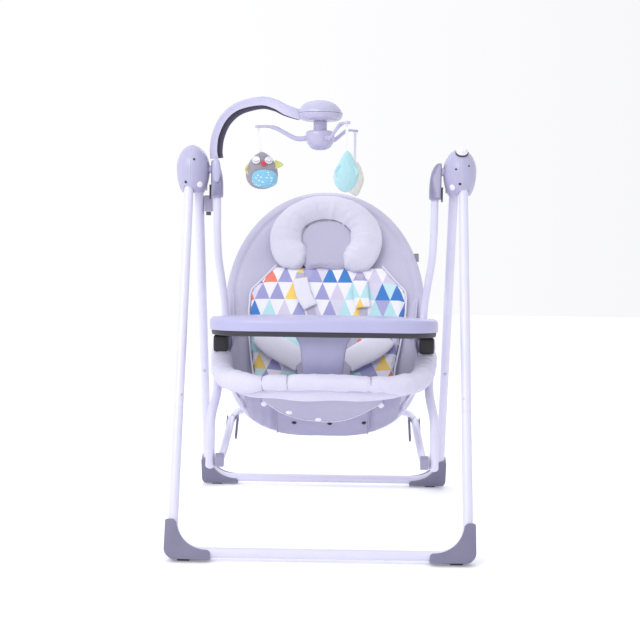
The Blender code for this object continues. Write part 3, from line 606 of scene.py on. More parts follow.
def printedTriangles(tree, tone):
    # rows of triangles, each in one ink chosen by its place in the grid; the UVs are in metres
    cloth = addNode(tree, "ShaderNodeUVMap", uv_map="UVMap")
    flat = addNode(tree, "ShaderNodeSeparateXYZ", {0: (cloth, 0)})
    rise = addNode(tree, "ShaderNodeMath", {0: (flat, 1), 1: 1000 / trianglePrint["heightMm"]},
                   operation="MULTIPLY")
    run = addNode(tree, "ShaderNodeMath", {0: (flat, 0), 1: 1000 / trianglePrint["baseMm"]},
                  operation="MULTIPLY")
    half = addNode(tree, "ShaderNodeMath", {0: (rise, 0), 1: -0.5, 2: (run, 0)}, operation="MULTIPLY_ADD")
    column = addNode(tree, "ShaderNodeMath", {0: (half, 0)}, operation="FLOOR")
    row = addNode(tree, "ShaderNodeMath", {0: (rise, 0)}, operation="FLOOR")
    partU = addNode(tree, "ShaderNodeMath", {0: (half, 0)}, operation="FRACT")
    partV = addNode(tree, "ShaderNodeMath", {0: (rise, 0)}, operation="FRACT")
    both = addNode(tree, "ShaderNodeMath", {0: (partU, 0), 1: (partV, 0)}, operation="ADD")
    points = addNode(tree, "ShaderNodeMath", {0: (both, 0), 1: 1.0}, operation="GREATER_THAN")
    cell = addNode(tree, "ShaderNodeCombineXYZ", {0: (column, 0), 1: (row, 0), 2: (points, 0)})
    chance = addNode(tree, "ShaderNodeTexWhiteNoise", {"Vector": (cell, 0)}, noise_dimensions="3D")
    ramps = []
    for inks in (trianglePrint["upInks"], trianglePrint["downInks"]):
        ramp = addNode(tree, "ShaderNodeValToRGB", {0: (chance, 0)})
        ramp.color_ramp.interpolation = "CONSTANT"
        starts = [0.0] + [end for ink, end in inks[:-1]]
        stops = ramp.color_ramp.elements
        while len(stops) < len(inks):
            stops.new(0.5)
        for stop, start, (ink, end) in zip(stops, starts, inks):
            stop.position = start
            stop.color = hexColour(ink)
        ramps.append(ramp)
    ink = addNode(tree, "ShaderNodeMix", {0: (points, 0), 6: (ramps[0], 0), 7: (ramps[1], 0)},
                  data_type="RGBA")
    return addNode(tree, "ShaderNodeMix", {0: 0.06, 6: (ink, 2), 7: (tone, 2)}, data_type="RGBA")


tubePaint = powderCoatedSteel("powderCoatedSteelTube")
hubAbs = mouldedPlastic("mouldedAbsHub", "#B4B2D0", "#AAA8C8", roughness=0.36, coat=0.2)
archAbs = mouldedPlastic("mouldedAbsArch", "#B9B8D6", "#B1AFCE", roughness=0.34, coat=0.2, grain=0.07)
# dark grey-violet: painted shade for the shadowed inside of the arch's channel
archInsidePaintedShade = mouldedPlastic("mouldedAbsArchPaintedShade", "#55516A", "#4B4760", roughness=0.6, wear=0.1)
domeAbs = mouldedPlastic("mouldedAbsDome", "#B8B7D3", "#AFADCB", roughness=0.28, coat=0.3, grain=0.05)
elbowAbs = mouldedPlastic("mouldedAbsElbow", "#8683A6", "#7F7CA0", roughness=0.42)
footPp = mouldedPlastic("mouldedPolypropyleneFoot", "#7C7993", "#73708B", roughness=0.45, grain=0.2)
trayAbs = mouldedPlastic("mouldedAbsTray", "#B4B3D8", "#AEADD3", roughness=0.34, coat=0.2, grain=0.04,
                         wear=0.05)
postAbs = mouldedPlastic("mouldedAbsPost", "#A9A8CC", "#A19FC4", roughness=0.34, coat=0.2)
trayNylon = mouldedPlastic("mouldedNylonUnderTray", "#2E2B36", "#27242F", roughness=0.5, wear=0.1)
blackNylon = mouldedPlastic("mouldedNylonBlack", "#1B1920", "#121117", roughness=0.42, wear=0.12)
whiteKnob = mouldedPlastic("mouldedAbsWhite", "#EEEDF8", "#E4E3F2", roughness=0.25, coat=0.3)
inletAbs = mouldedPlastic("mouldedAbsInlet", "#8F8DAC", "#8583A4", roughness=0.42)
rubberPad = mouldedPlastic("mouldedRubberPad", "#2B2A33", "#1F1E26", roughness=0.8, grain=0.4, wear=0.05)
zincSteel = bareMetal("zincPlatedSteel", "#D9D8E2", 0.28)
enamelCopper = bareMetal("enamelledCopperWire", "#B4653A", 0.35, 0.5)
circuitBoard = mouldedPlastic("lacqueredCircuitBoard", "#1E5A35", "#174A2B", roughness=0.35, wear=0.0)
seatCloth = wovenCloth("wovenPolyesterSeat", "#C6C4DA", "#BDBAD3", threadMm=1.3, sheen=0.2)
rimCloth = wovenCloth("brushedPolyesterRim", "#D8D6EA", "#CECBE2", threadMm=1.2, crease=0.6)
pillowCloth = wovenCloth("brushedCottonPillow", "#DCDAEB", "#D3D0E4", threadMm=1.2, crease=0.5)
pillowMinky = wovenCloth("brushedVelourPillow", "#BEBBD2", "#B5B2CB", threadMm=1.0, sheen=0.5, weave=0.15)
printCloth = wovenCloth("printedCottonInsert", "#F1F0FC", "#E6E4F4", threadMm=1.1, crease=0.5,
                        colourFrom=printedTriangles)
whiteCloth = wovenCloth("wovenCottonWhite", "#EAE8F6", "#DEDCEE", threadMm=1.1, crease=0.5)
apronCloth = wovenCloth("coatedPolyesterApron", "#A29EBE", "#928EB2", threadMm=1.0, roughness=0.7,
                        crease=0.7)
webbing = wovenCloth("wovenNylonWebbing", "#BDBAD0", "#B1AEC6", threadMm=1.6, weave=0.7, crease=0.2)
greyPlush = shortPlush("knittedPlushGrey", "#A09CA8", "#8E8A99")
aquaPlush = shortPlush("knittedPlushAqua", "#B4DFE6", "#A5D4DE")
creamPlush = shortPlush("knittedPlushCream", "#ECEBE4", "#DDDDD6")
bellyPlush = shortPlush("printedPlushBelly", "#8CCBEA", "#7DC0E2", spots={"everyMm": 7, "colour": "#D5ECF6"})
limeFelt = shortPlush("needledFeltLime", "#DADC84", "#CBCD76", pileMm=0.9)
redFelt = shortPlush("needledFeltRed", "#E0304F", "#D02844", pileMm=0.9)
whiteFelt = shortPlush("needledFeltWhite", "#F3F2F8", "#E7E6F0", pileMm=0.9)
greyFelt = shortPlush("needledFeltGrey", "#8D8A9C", "#7F7C8F", pileMm=0.9)
print("materials made")


# stand: two bent frames with foot covers

stand = {"tubeRadius": 0.011, "baseY": 0.36, "barZ": 0.018, "corner": 0.065, "seamZ": 0.308, "buttonZ": 0.334,
         "footX": {"front": 0.316, "rear": 0.317}, "tops": {"front": (0.322, -0.032, 0.800),
                                                             "rear": (0.306, 0.028, 0.800)}}


def legLine(part, side):
    sign = sides[side]
    back = 1 if part == "rear" else -1
    top = stand["tops"][part]
    return (Vector((sign * stand["footX"][part], back * stand["baseY"], stand["barZ"])),
            Vector((sign * top[0], top[1], top[2])))


def legPoint(part, side, height):
    foot, top = legLine(part, side)
    return foot.lerp(top, (height - foot.z) / (top.z - foot.z))


def standBody(part):
    return "stand" if part == "front" else "rear_frame"


def footOutline():
    cover = {"half": 0.0155, "reach": 0.083, "corner": 0.022, "arcCentre": 0.0745, "arc": 0.0665}
    low = -cover["half"]
    outline = [(low, 0.064), (low + 0.0012, 0.0668), (low + 0.004, 0.0685), (0.001, 0.0685),
               (0.0045, 0.0668), (0.0070, 0.0635)]
    for step in range(1, 15):
        angle = math.radians(180 + 90 * step / 15)
        outline.append((cover["arcCentre"] + cover["arc"] * math.cos(angle),
                        cover["arcCentre"] - 0.004 + cover["arc"] * math.sin(angle)))
    outline += [(cover["reach"] - 0.005, 0.0036), (cover["reach"] - 0.0015, 0.001),
                (cover["reach"], -0.003), (cover["reach"], low + 0.002), (cover["reach"] - 0.002, low)]
    for step in range(11):
        angle = math.radians(270 - 90 * step / 10)
        outline.append((low + cover["corner"] * (1 + math.cos(angle)),
                        low + cover["corner"] * (1 + math.sin(angle))))
    return outline


def makeFoot(part, side):
    foot, top = legLine(part, side)
    up = (top - foot).normalized()
    inwards = Vector((-sides[side], 0, 0))
    through = up.cross(inwards).normalized()
    cover = plateMesh(part + "FootCover_" + side, footOutline(),
                      lambda a, b, depth: foot + inwards * a + up * b + through * depth,
                      0.031, footPp, 0.0045, 4)
    bore = tubeMesh("bore", basePath(part), stand["tubeRadius"] + 0.0004, None)
    ground = boxMesh("ground", foot + Vector((-0.2, -0.1, -0.2)), (foot.x + 0.2, foot.y + 0.1, 0.0032),
                     None, 0.0001, 1)
    cutAway(cover, bore, ground)
    place(cover, standBody(part), part + "_foot_" + side, slot="foot_plastic")


def basePath(part):
    ends = [legPoint(part, side, stand["seamZ"]) for side in sides]
    feet = [legLine(part, side)[0] for side in sides]
    return roundedPath([ends[0], feet[0], feet[1], ends[1]], stand["corner"], 12)


def makeStandFrame(part):
    body = standBody(part)
    base = tubeMesh(part + "BaseTube", basePath(part), stand["tubeRadius"], tubePaint)
    place(base, body, part + "_base_tube", slot="frame_tube")
    for side in sides:
        foot, top = legLine(part, side)
        up = (top - foot).normalized()
        start = legPoint(part, side, stand["seamZ"]) + up * 0.0006
        end = top + up * (0.011 if part == "rear" else -0.001)
        steps = [start.lerp(end, k / 8) for k in range(9)]
        leg = tubeMesh(part + "Leg_" + side, steps, stand["tubeRadius"], tubePaint)
        if part == "rear":
            reach = Vector((0.02, 0, 0))
            front = Vector((0, -up.z, up.y))
            centre = legPoint(part, side, stand["buttonZ"])
            cutAway(leg, tubeMesh("hole", [top - reach, top + reach], 0.0044, None),
                    tubeMesh("hole", [centre + front * 0.0015, centre + front * 0.02], 0.0042, None))
        place(leg, body, part + "_leg_" + side, slot="frame_tube")
        makeFoot(part, side)


for part in ("front", "rear"):
    makeStandFrame(part)


def makeLegFittings():
    # a rivet head beside the spring button of each front leg
    for side, sign in sides.items():
        foot, top = legLine("front", side)
        up = (top - foot).normalized()
        front = Vector((0, -up.z, up.y))
        at = (legPoint("front", side, stand["buttonZ"]) + Vector((-sign * 0.0105, 0, 0)) * 0.6
              + front * 0.0088)
        button = latheMesh("frontLegRivet_" + side, [(0, -0.001), (0.0026, -0.001), (0.0026, 0.0006),
                                                    (0.0018, 0.0013), (0, 0.0015)], zincSteel, at,
                           (front + Vector((-sign * 0.55, 0, 0))).normalized(), 24)
        place(button, "stand", slot="steel")


makeLegFittings()
print("stand made")


# hubs: egg-shaped shells with an arched recess where the front leg enters

hub = {"x": 0.316, "z": 0.843, "halfWidth": 0.039, "halfDepth": 0.055, "up": 0.056, "down": 0.075,
       "bottom": 0.7865, "wall": 0.003, "dialTilt": math.radians(40)}


def hubShell(name, side, outer):
    sign = sides[side]
    away = sign if outer else -sign
    shape = bmesh.new()
    bmesh.ops.create_uvsphere(shape, u_segments=72, v_segments=48, radius=1)
    for vert in shape.verts:
        x, y, z = vert.co
        height = hub["up"] if z > 0 else hub["down"]
        vert.co = (sign * hub["x"] + x * hub["halfWidth"], y * hub["halfDepth"], hub["z"] + z * height)
    for where, normal in ((Vector((sign * hub["x"] + away * 0.0002, 0, 0)), Vector((-away, 0, 0))),
                          (Vector((0, 0, hub["bottom"])), Vector((0, 0, -1)))):
        bmesh.ops.bisect_plane(shape, geom=shape.verts[:] + shape.edges[:] + shape.faces[:], dist=1e-6,
                               plane_co=where, plane_no=normal, clear_outer=True)
    bmesh.ops.recalc_face_normals(shape, faces=shape.faces)
    middle = Vector((sign * hub["x"], 0, hub["z"]))
    if sum(f.normal.dot(f.calc_center_median() - middle) for f in shape.faces) < 0:
        bmesh.ops.reverse_faces(shape, faces=shape.faces)
    mesh = bpy.data.meshes.new(name)
    shape.to_mesh(mesh)
    shape.free()
    mesh.materials.append(hubAbs)
    shell = bpy.data.objects.new(name, mesh)
    bpy.context.scene.collection.objects.link(shell)
    solid = shell.modifiers.new("wall", "SOLIDIFY")
    solid.thickness = hub["wall"]
    solid.offset = -1
    return shell


def makeHub(side):
    sign = sides[side]
    foot, top = legLine("front", side)
    up = (top - foot).normalized()
    rear = legLine("rear", side)[1]
    for outer in (False, True):
        name = "hub_" + side + ("_outer" if outer else "_inner")
        shell = hubShell("hub" + ("Outer_" if outer else "Inner_") + side, side, outer)
        cutters = [tubeMesh("hole", [top - up * 0.05, top + up * 0.0005], stand["tubeRadius"] + 0.0012, None)]
        cutters.append(boxMesh("slot", (rear.x - 0.0122, 0.002, 0.77), (rear.x + 0.0122, 0.082, 0.8135),
                               None, 0.004, 3))
        if not outer:
            axle = Vector((sign * 0.26, 0, hub["z"]))
            cutters.append(tubeMesh("hole", [axle, Vector((sign * 0.31, 0, hub["z"]))], 0.0098, None))
            pin = Vector((sign * 0.26, rear.y, rear.z))
            cutters.append(tubeMesh("hole", [pin, pin + Vector((sign * 0.036, 0, 0))], 0.0076, None))
        if side == "right":
            cutters.append(tubeMesh("hole", [dialSeat() - dialAxis() * 0.02, dialSeat() + dialAxis() * 0.01],
                                    0.0037, None))
        place(cutAway(shell, *cutters), "stand", name, slot="hub_plastic")


def dialAxis():
    return Vector((0, -math.sin(hub["dialTilt"]), math.cos(hub["dialTilt"])))


def dialSeat():
    tilt = hub["dialTilt"]
    share = math.atan2(hub["halfDepth"] * math.sin(tilt), hub["up"] * math.cos(tilt))
    return Vector((hub["x"] + 0.0005, -hub["halfDepth"] * math.sin(share),
                   hub["z"] + hub["up"] * math.cos(share)))


def onHub(side, across, height):
    # the point and the normal on the front of the hub, across measured outwards from its middle
    sign = sides[side]
    tall = hub["up"] if height > 0 else hub["down"]
    share = 1 - (across / hub["halfWidth"]) ** 2 - (height / tall) ** 2
    depth = -hub["halfDepth"] * math.sqrt(max(share, 0))
    normal = Vector((sign * across / hub["halfWidth"] ** 2, depth / hub["halfDepth"] ** 2,
                     height / tall ** 2)).normalized()
    return Vector((sign * (hub["x"] + across), depth, hub["z"] + height)), normal


def makeHubTrim(side):
    spots = {"left": [(-0.008, 0.020, 0.0026), (0.012, -0.033, 0.0032)],
             "right": [(-0.014, 0.004, 0.0024), (-0.004, -0.030, 0.0030), (0.016, 0.012, 0.0022)]}[side]
    # each screw hole is a flat black disc on the shell: painted shade for the shadowed hollow of the hole
    for count, (across, height, size) in enumerate(spots):
        at, normal = onHub(side, across, height)
        cup = latheMesh("screwHoleShadeDisc_" + side + "_" + str(count),
                        [(0, 0.0003), (size * 0.72, 0.0003), (size * 0.92, 0.0005), (size * 1.04, 0.0004),
                         (size * 1.08, 0.0000), (size * 1.08, -0.0008), (0, -0.0008)],
                        blackNylon, at, normal, 28)
        place(cup, "stand", slot="dark_plastic")
    at, normal = onHub(side, -0.020, -0.038)
    rivet = latheMesh("hubRivet_" + side, [(0, -0.003), (0.0072, -0.003), (0.0076, 0.0005), (0.0068, 0.0022),
                                           (0.0052, 0.0031), (0.0024, 0.0036), (0, 0.0037)],
                      whiteKnob, at, normal, 36)
    place(rivet, "stand", slot="dial_plastic")
    rear = legLine("rear", side)[1]
    collar = latheMesh("pivotCollar_" + side, [(0, 0), (0.0078, 0), (0.0082, 0.0012), (0.0074, 0.003),
                                               (0.0050, 0.0037), (0, 0.004)], zincSteel,
                       (sides[side] * 0.2890, rear.y, rear.z), (-sides[side], 0, 0), 36)
    place(collar, "rear_frame", "pivot_pin_" + side, slot="steel")
    # the stop that limits the arm's travel, and the wire clip below it
    inner = sorted((sides[side] * 0.2738, sides[side] * 0.2766))
    for name, low, high in (("swingStop_", (-0.011, 0.771), (0.006, 0.806)),
                            ("wireClip_", (0.010, 0.789), (0.021, 0.806))):
        stop = boxMesh(name + side, (inner[0], *low), (inner[1], *high), blackNylon, 0.0008, 2)
        place(stop, "stand", slot="dark_plastic")


for side in sides:
    makeHub(side)
    makeHubTrim(side)


def makeDial():
    at = dialSeat() + dialAxis() * 0.0009
    knob = latheMesh("speedDialKnob", [(0, 0), (0.0128, 0), (0.0135, 0.0008), (0.0135, 0.0040),
                                       (0.0126, 0.0052), (0.0106, 0.0056), (0.0100, 0.0062), (0.0100, 0.0078),
                                       (0.0088, 0.0092), (0.0050, 0.0100), (0, 0.0102)], whiteKnob, at,
                     dialAxis(), 56, 50)
    grip = boxMesh("speedDialRidge", (-0.0016, -0.0108, 0.003), (0.0016, 0.0108, 0.0122), whiteKnob, 0.0012,
                   3)
    turn = Vector((0, 0, 1)).rotation_difference(dialAxis()).to_matrix()
    for vert in grip.data.vertices:
        vert.co = at + turn @ vert.co
    place(knob, "dial", "speed_dial", slot="dial_plastic")
    place(grip, "dial", slot="dial_plastic")
    seat = latheMesh("dialSeatRing",
                     [(0.0100, -0.0015), (0.0150, -0.0015), (0.0152, 0.0002), (0.0144, 0.0007),
                                      (0.0138, 0.0003), (0.0100, 0.0001)], blackNylon,
                     dialSeat(), dialAxis(), 56)
    place(seat, "stand", slot="dark_plastic")


makeDial()
print("hubs made")


# swing arms, elbows, docks

arm = {"radius": 0.009, "x": 0.2585, "axleEnd": 0.335}
dock = {"y": -0.008, "z": 0.42, "radius": 0.0285, "inner": 0.2225, "outer": 0.2425}


def armPath(side):
    sign = sides[side]
    down = [(arm["x"], 0, 0.700), (0.2555, 0.003, 0.635), (0.2475, 0.007, 0.578), (0.2405, 0.008, 0.527),
            (0.2370, 0.000, 0.485), (0.2350, dock["y"], 0.465), (0.2345, dock["y"], 0.4491)]
    lower = smoothPath([(sign * x, y, z) for x, y, z in down], 6)
    axle = Vector((sign * arm["axleEnd"], 0, hub["z"]))
    return roundedPath([axle, Vector((sign * arm["x"], 0, hub["z"])), lower[0]], 0.022, 10)[:-1] + lower


def makeElbow(side):
    # a moulded clamp whose top slopes down towards the seat
    sign = sides[side]
    outline = [(-0.0125, 0.776), (0.0130, 0.776), (0.0135, 0.782), (0.0135, 0.858), (0.0120, 0.8625),
               (0.0060, 0.8625), (0.0010, 0.860), (-0.0040, 0.853), (-0.0085, 0.842), (-0.0115, 0.828),
               (-0.0132, 0.812), (-0.0135, 0.800), (-0.0135, 0.782)]
    middle = 0.2590
    elbow = plateMesh("armElbow_" + side, outline,
                      lambda a, b, depth: (sign * (middle + a), depth, b), 0.034, elbowAbs, 0.006, 4)
    bore = tubeMesh("bore", armPath(side)[:18], arm["radius"] + 0.0004, None)
    place(cutAway(elbow, bore), "swing", "elbow_" + side, slot="knee_plastic")


def makeArm(side):
    sign = sides[side]
    tube = tubeMesh("swingArm_" + side, armPath(side), arm["radius"], tubePaint)
    place(tube, "swing", "swing_arm_" + side, slot="frame_tube")
    makeElbow(side)
    radius, wide = dock["radius"], dock["outer"] - dock["inner"]
    profile = [(0, 0), (radius - 0.006, 0), (radius - 0.002, 0.0006), (radius, 0.0028),
               (radius, wide - 0.0028),
               (radius - 0.002, wide - 0.0006), (radius - 0.006, wide), (0, wide)]
    disc = latheMesh("seatDock_" + side, profile, hubAbs, (sign * dock["inner"], dock["y"], dock["z"]),
                     (sign, 0, 0), 56)
    place(disc, "swing", "seat_dock_" + side, slot="hub_plastic")


for side in sides:
    makeArm(side)


# mobile: arch, dome, rotor and toys

mobile = {"x": -0.015, "y": -0.05, "reach": 0.145, "tipZ": 0.941,
          "arms": {"owl": math.radians(175), "bird": math.radians(-65), "cloud": math.radians(55)}}


def archSection(share):
    # a channel open towards the inside of the bend, its front flange cut back where the arch rises
    size = mix([1.0, 1.0, 0.92, 0.8], share)
    half, deep, wall, soft = 0.0145 * size, 0.0125 * size, 0.003, 0.0052 * size
    front = -half + mix([0.0100, 0.0118, 0.0112, 0.0060, 0.0015, 0.0], share)
    outer = [(front, -deep)]
    for step in range(7):
        angle = math.radians(-90 + 90 * step / 6)
        outer.append((half - soft + soft * math.cos(angle), -deep + soft + soft * math.sin(angle)))
    for step in range(7):
        angle = math.radians(90 * step / 6)
        outer.append((half - soft + soft * math.cos(angle), deep - soft + soft * math.sin(angle)))
    outer.append((-half, deep))
    inner = [(-half, deep - wall), (half - wall - 0.003, deep - wall),
             (half - wall - 0.0008, deep - wall - 0.001),
             (half - wall, deep - wall - 0.003), (half - wall, wall + 0.003 - deep),
             (half - wall - 0.0008, wall + 0.001 - deep), (half - wall - 0.003, wall - deep),
             (front, wall - deep)]
    return outer + inner


def makeArch():
    route = [(-0.2600, -0.004, 0.8676), (-0.2615, -0.005, 0.888), (-0.2560, -0.008, 0.922),
             (-0.2380, -0.014, 0.958), (-0.2050, -0.023, 0.984), (-0.1540, -0.036, 0.996),
             (-0.1200, -0.043, 0.990), (-0.0960, -0.047, 0.9785), (-0.0700, -0.050, 0.9700),
             (-0.0610, -0.050, 0.9680)]
    arch = sweepMesh("mobileArch", smoothPath(route, 8), archSection, (0, 1, 0), archAbs)
    arch.data.materials.append(archInsidePaintedShade)
    # the channel's inner faces get the painted shade material
    around = len(archSection(0))
    for face in arch.data.polygons:
        if around - 8 <= face.index % around < around - 1 and len(face.vertices) == 4:
            face.material_index = 1
    place(arch, "swing", "mobile_arch", slot="hub_plastic")
    pod = ballMesh("mobileReleasePod", (-0.2590, -0.0225, 0.839), (0.0105, 0.0075, 0.0282), archAbs,
                   None, 0.9, 48, 32)
    place(pod, "mobile_release", "mobile_button", slot="hub_plastic")


def roundedProfile(points, steps=4):
    # a smooth run of (radius, height) through the points
    path = smoothPath([(r, 0, z) for r, z in points], steps)
    return [(max(p.x, 0), p.z) for p in path]


def makeDome():
    centre = (mobile["x"], mobile["y"], 0)
    outer = roundedProfile([(0.0001, 1.0040), (0.016, 1.0028), (0.030, 0.9985), (0.042, 0.9905),
                            (0.0495, 0.980), (0.0518, 0.9725)])
    inner = [(0.0488, 0.9722), (0.0475, 0.977), (0.0425, 0.985), (0.0325, 0.9935), (0.017, 0.9985),
             (0.0001, 1.0)]
    dome = latheMesh("mobileDome", outer + inner, domeAbs, centre, around=72)
    place(dome, "swing", "mobile_dome", slot="hub_plastic")
    lower = roundedProfile([(0.0518, 0.9716), (0.0505, 0.9640), (0.0450, 0.9570), (0.0350, 0.9540)])
    under = [(0.0047, 0.9540), (0.0047, 0.9570), (0.0340, 0.9570), (0.0425, 0.9595), (0.0470, 0.9655),
             (0.0488, 0.9716)]
    base = latheMesh("mobileDomeBase", lower + under + [lower[0]], domeAbs, centre, around=72)
    place(base, "swing", "mobile_dome_base", slot="hub_plastic")
    # a flat black disc: painted shade for the shadowed screw hole in the dome
    well = latheMesh("domeScrewHoleShadeDisc", [(0, -0.0004), (0.0018, -0.0003), (0.0026, 0.0002), (0.0029, 0.0000),
                                       (0.0029, -0.0008), (0, -0.0008)], blackNylon,
                     Vector((-0.047, -0.0875, 0.9735)), Vector((-0.65, -0.75, 0.1)).normalized(), 28)
    place(well, "swing", slot="dark_plastic")


def makeRotor():
    centre = Vector((mobile["x"], mobile["y"], 0))
    stem = [(0.0040, 0.962), (0.0040, 0.9534), (0.0150, 0.9534), (0.0158, 0.9525), (0.0158, 0.9335)]
    bowl = roundedProfile([(0.0170, 0.9322), (0.0290, 0.9316), (0.0330, 0.9270), (0.0336, 0.9185),
                           (0.0320, 0.9080),
                           (0.0275, 0.8985), (0.0205, 0.8915), (0.0110, 0.8878), (0.0001, 0.8868)])
    spin = latheMesh("mobileRotorHub", [(0, 0.962)] + stem + bowl, domeAbs, centre, around=72)
    pieces = [spin]
    for name, angle in mobile["arms"].items():
        out = Vector((math.cos(angle), math.sin(angle), 0))
        path = smoothPath([centre + out * r + Vector((0, 0, z)) for r, z in
                           ((0.020, 0.918), (0.045, 0.913), (0.062, 0.916), (0.085, 0.928), (0.105, 0.938),
                            (0.125, 0.9415), (mobile["reach"], mobile["tipZ"]))], 6)

        def blade(share):
            height = mix([0.0062, 0.0056, 0.0048, 0.0048, 0.0034], share)
            wide = mix([0.0030, 0.0030, 0.0030, 0.0034, 0.0062, 0.0058], share)
            return [(height * math.cos(a) * (1 if share < 0.75 else 0.8), wide * math.sin(a))
                    for a in turns(20)]
        pieces.append(sweepMesh("blade", path, blade, Vector((0, 0, 1)).cross(out), archAbs, 60))
        tip = centre + out * (mobile["reach"] + 0.001) + Vector((0, 0, mobile["tipZ"]))
        pieces.append(latheMesh("tip", [(0, -0.0034), (0.0055, -0.0034), (0.0068, -0.0024), (0.0070, 0.0),
                                        (0.0064, 0.0026), (0.0045, 0.0036), (0, 0.004)], archAbs, tip,
                                around=36))
    place(joined("mobileRotorArms", pieces), "rotor", "mobile_rotor", slot="hub_plastic")


def toyFrame(name, drop, tall):
    angle = mobile["arms"][name]
    tip = Vector((mobile["x"] + mobile["reach"] * math.cos(angle),
                  mobile["y"] + mobile["reach"] * math.sin(angle),
                  mobile["tipZ"]))
    top = tip.z - 0.0052
    return tip, top, Vector((tip.x, tip.y, top - drop - tall))


def makeRibbon(name, tip, top, low, spread=0.0):
    # a doubled satin ribbon, sewn into the toy's seam
    path = [Vector((tip.x, tip.y, top)), Vector((tip.x + spread * 0.5, tip.y - 0.0003, (top + low) / 2)),
            Vector((tip.x + spread, tip.y, low))]

    def section(share):
        return [(-0.0032, -0.0005), (0.0032, -0.0005), (0.0032, 0.0005), (-0.0032, 0.0005)]
    ribbon = sweepMesh(name + "Ribbon", smoothPath(path, 8), section, (0, 1, 0), whiteCloth)
    place(ribbon, name, slot=name + "_plush")


def makeToyBody(name, around, shapeAt, material, cap, knit):
    # a stuffed toy's body: shapeAt moves the points of a unit ball, knit is a ripple's (height, size, seed)
    shape = bmesh.new()
    bmesh.ops.create_uvsphere(shape, u_segments=around, v_segments=36, radius=1)
    for vert in shape.verts:
        vert.co = shapeAt(*vert.co)
    body = finishMesh(name + "Body", shape, material, 180)
    stuffed(body, 0.0035, 3.0, cap, 12, 0)
    height, size, seed = knit
    moved(body, lambda p, n: n * height * ripple(p, size, seed))
    place(body, name, name + "_toy", slot=name + "_plush")


def makeOwl():
    tip, top, middle = toyFrame("owl", 0.053, 0.0435)
    middle.x += 0.009
    size = {"half": (0.0395, 0.019, 0.0435), "widths": [0.45, 0.62, 0.76, 0.87, 0.94, 0.99, 1.0, 0.99, 0.93]}

    def owlAt(x, y, z):
        wide = mix(size["widths"], (1 - z) / 2)
        around = math.hypot(x, y)
        unit = around if around > 1e-4 else 1
        full = around ** 0.8
        return middle + Vector((x / unit * full * size["half"][0] * wide,
                                y / unit * full * size["half"][1] * (0.55 + 0.45 * wide),
                                math.copysign(abs(z) ** 0.85, z) * size["half"][2]))
    makeToyBody("owl", 48, owlAt, greyPlush, 0.0022, (0.0005, 0.006, 3.1))

    def front(x, z):
        # the plush surface on the face of the toy
        wide = size["half"][0] * mix(size["widths"], (1 - z / size["half"][2]) / 2)
        share = max(1 - (abs(x) / wide) ** 2.4 - (abs(z) / size["half"][2]) ** 2.4, 0.0)
        return middle + Vector((x, -size["half"][1] * share ** 0.45 - 0.0012, z))

    def patch(name, centreX, centreZ, halfX, halfZ, material, thick=0.0016, power=2.0):
        def at(u, v):
            w = 2 * v - 1
            across = u * (1 - abs(w) ** power) ** (1 / power)
            return front(centreX + halfX * across, centreZ - halfZ * w)
        piece = clothPanel(name, at, 14, 14, thick, material)
        return subdivided(piece)
    trims = [patch("owlBelly", 0.007, -0.0195, 0.0300, 0.0215, bellyPlush, 0.0028, 2.4),
             patch("owlEye_left", -0.0127, 0.0235, 0.0095, 0.0088, whiteFelt),
             patch("owlEye_right", 0.0165, 0.0235, 0.0095, 0.0088, whiteFelt),
             patch("owlBeak", 0.0047, 0.0155, 0.0072, 0.0064, redFelt, 0.0045, 1.3)]
    for trim in trims:
        place(trim, "owl", slot="owl_plush")
    for side, sign in sides.items():
        # closed-eye stitches
        centreX = -0.0127 if side == "left" else 0.0165
        line = [front(centreX + 0.0058 * math.cos(a), 0.0240 + 0.0048 * math.sin(a)) - Vector((0, 0.0014, 0))
                for a in (math.radians(200 + 14 * k) for k in range(11))]
        stitch = tubeMesh("owlLash_" + side, line, 0.0005, greyFelt, around=8)
        place(stitch, "owl", slot="owl_plush")
        reach, tall, level = (0.016, 0.011, 0.014) if side == "right" else (0.004, 0.014, 0.002)

        def wing(u, v):
            w = 2 * v - 1
            out = sign * (0.031 + (reach + 0.004) * (1 - abs(w) ** 1.6) * (u + 1) / 2)
            return middle + Vector((out, -0.004 - 0.003 * (u + 1),
                                    level + tall * w * (1 - 0.25 * (u + 1) / 2)))
        piece = clothPanel("owlWing_" + side, wing, 10, 12, 0.0042, limeFelt)
        place(subdivided(piece), "owl", slot="owl_plush")
    makeRibbon("owl", tip, top, middle.z + size["half"][2] - 0.004, 0.006)


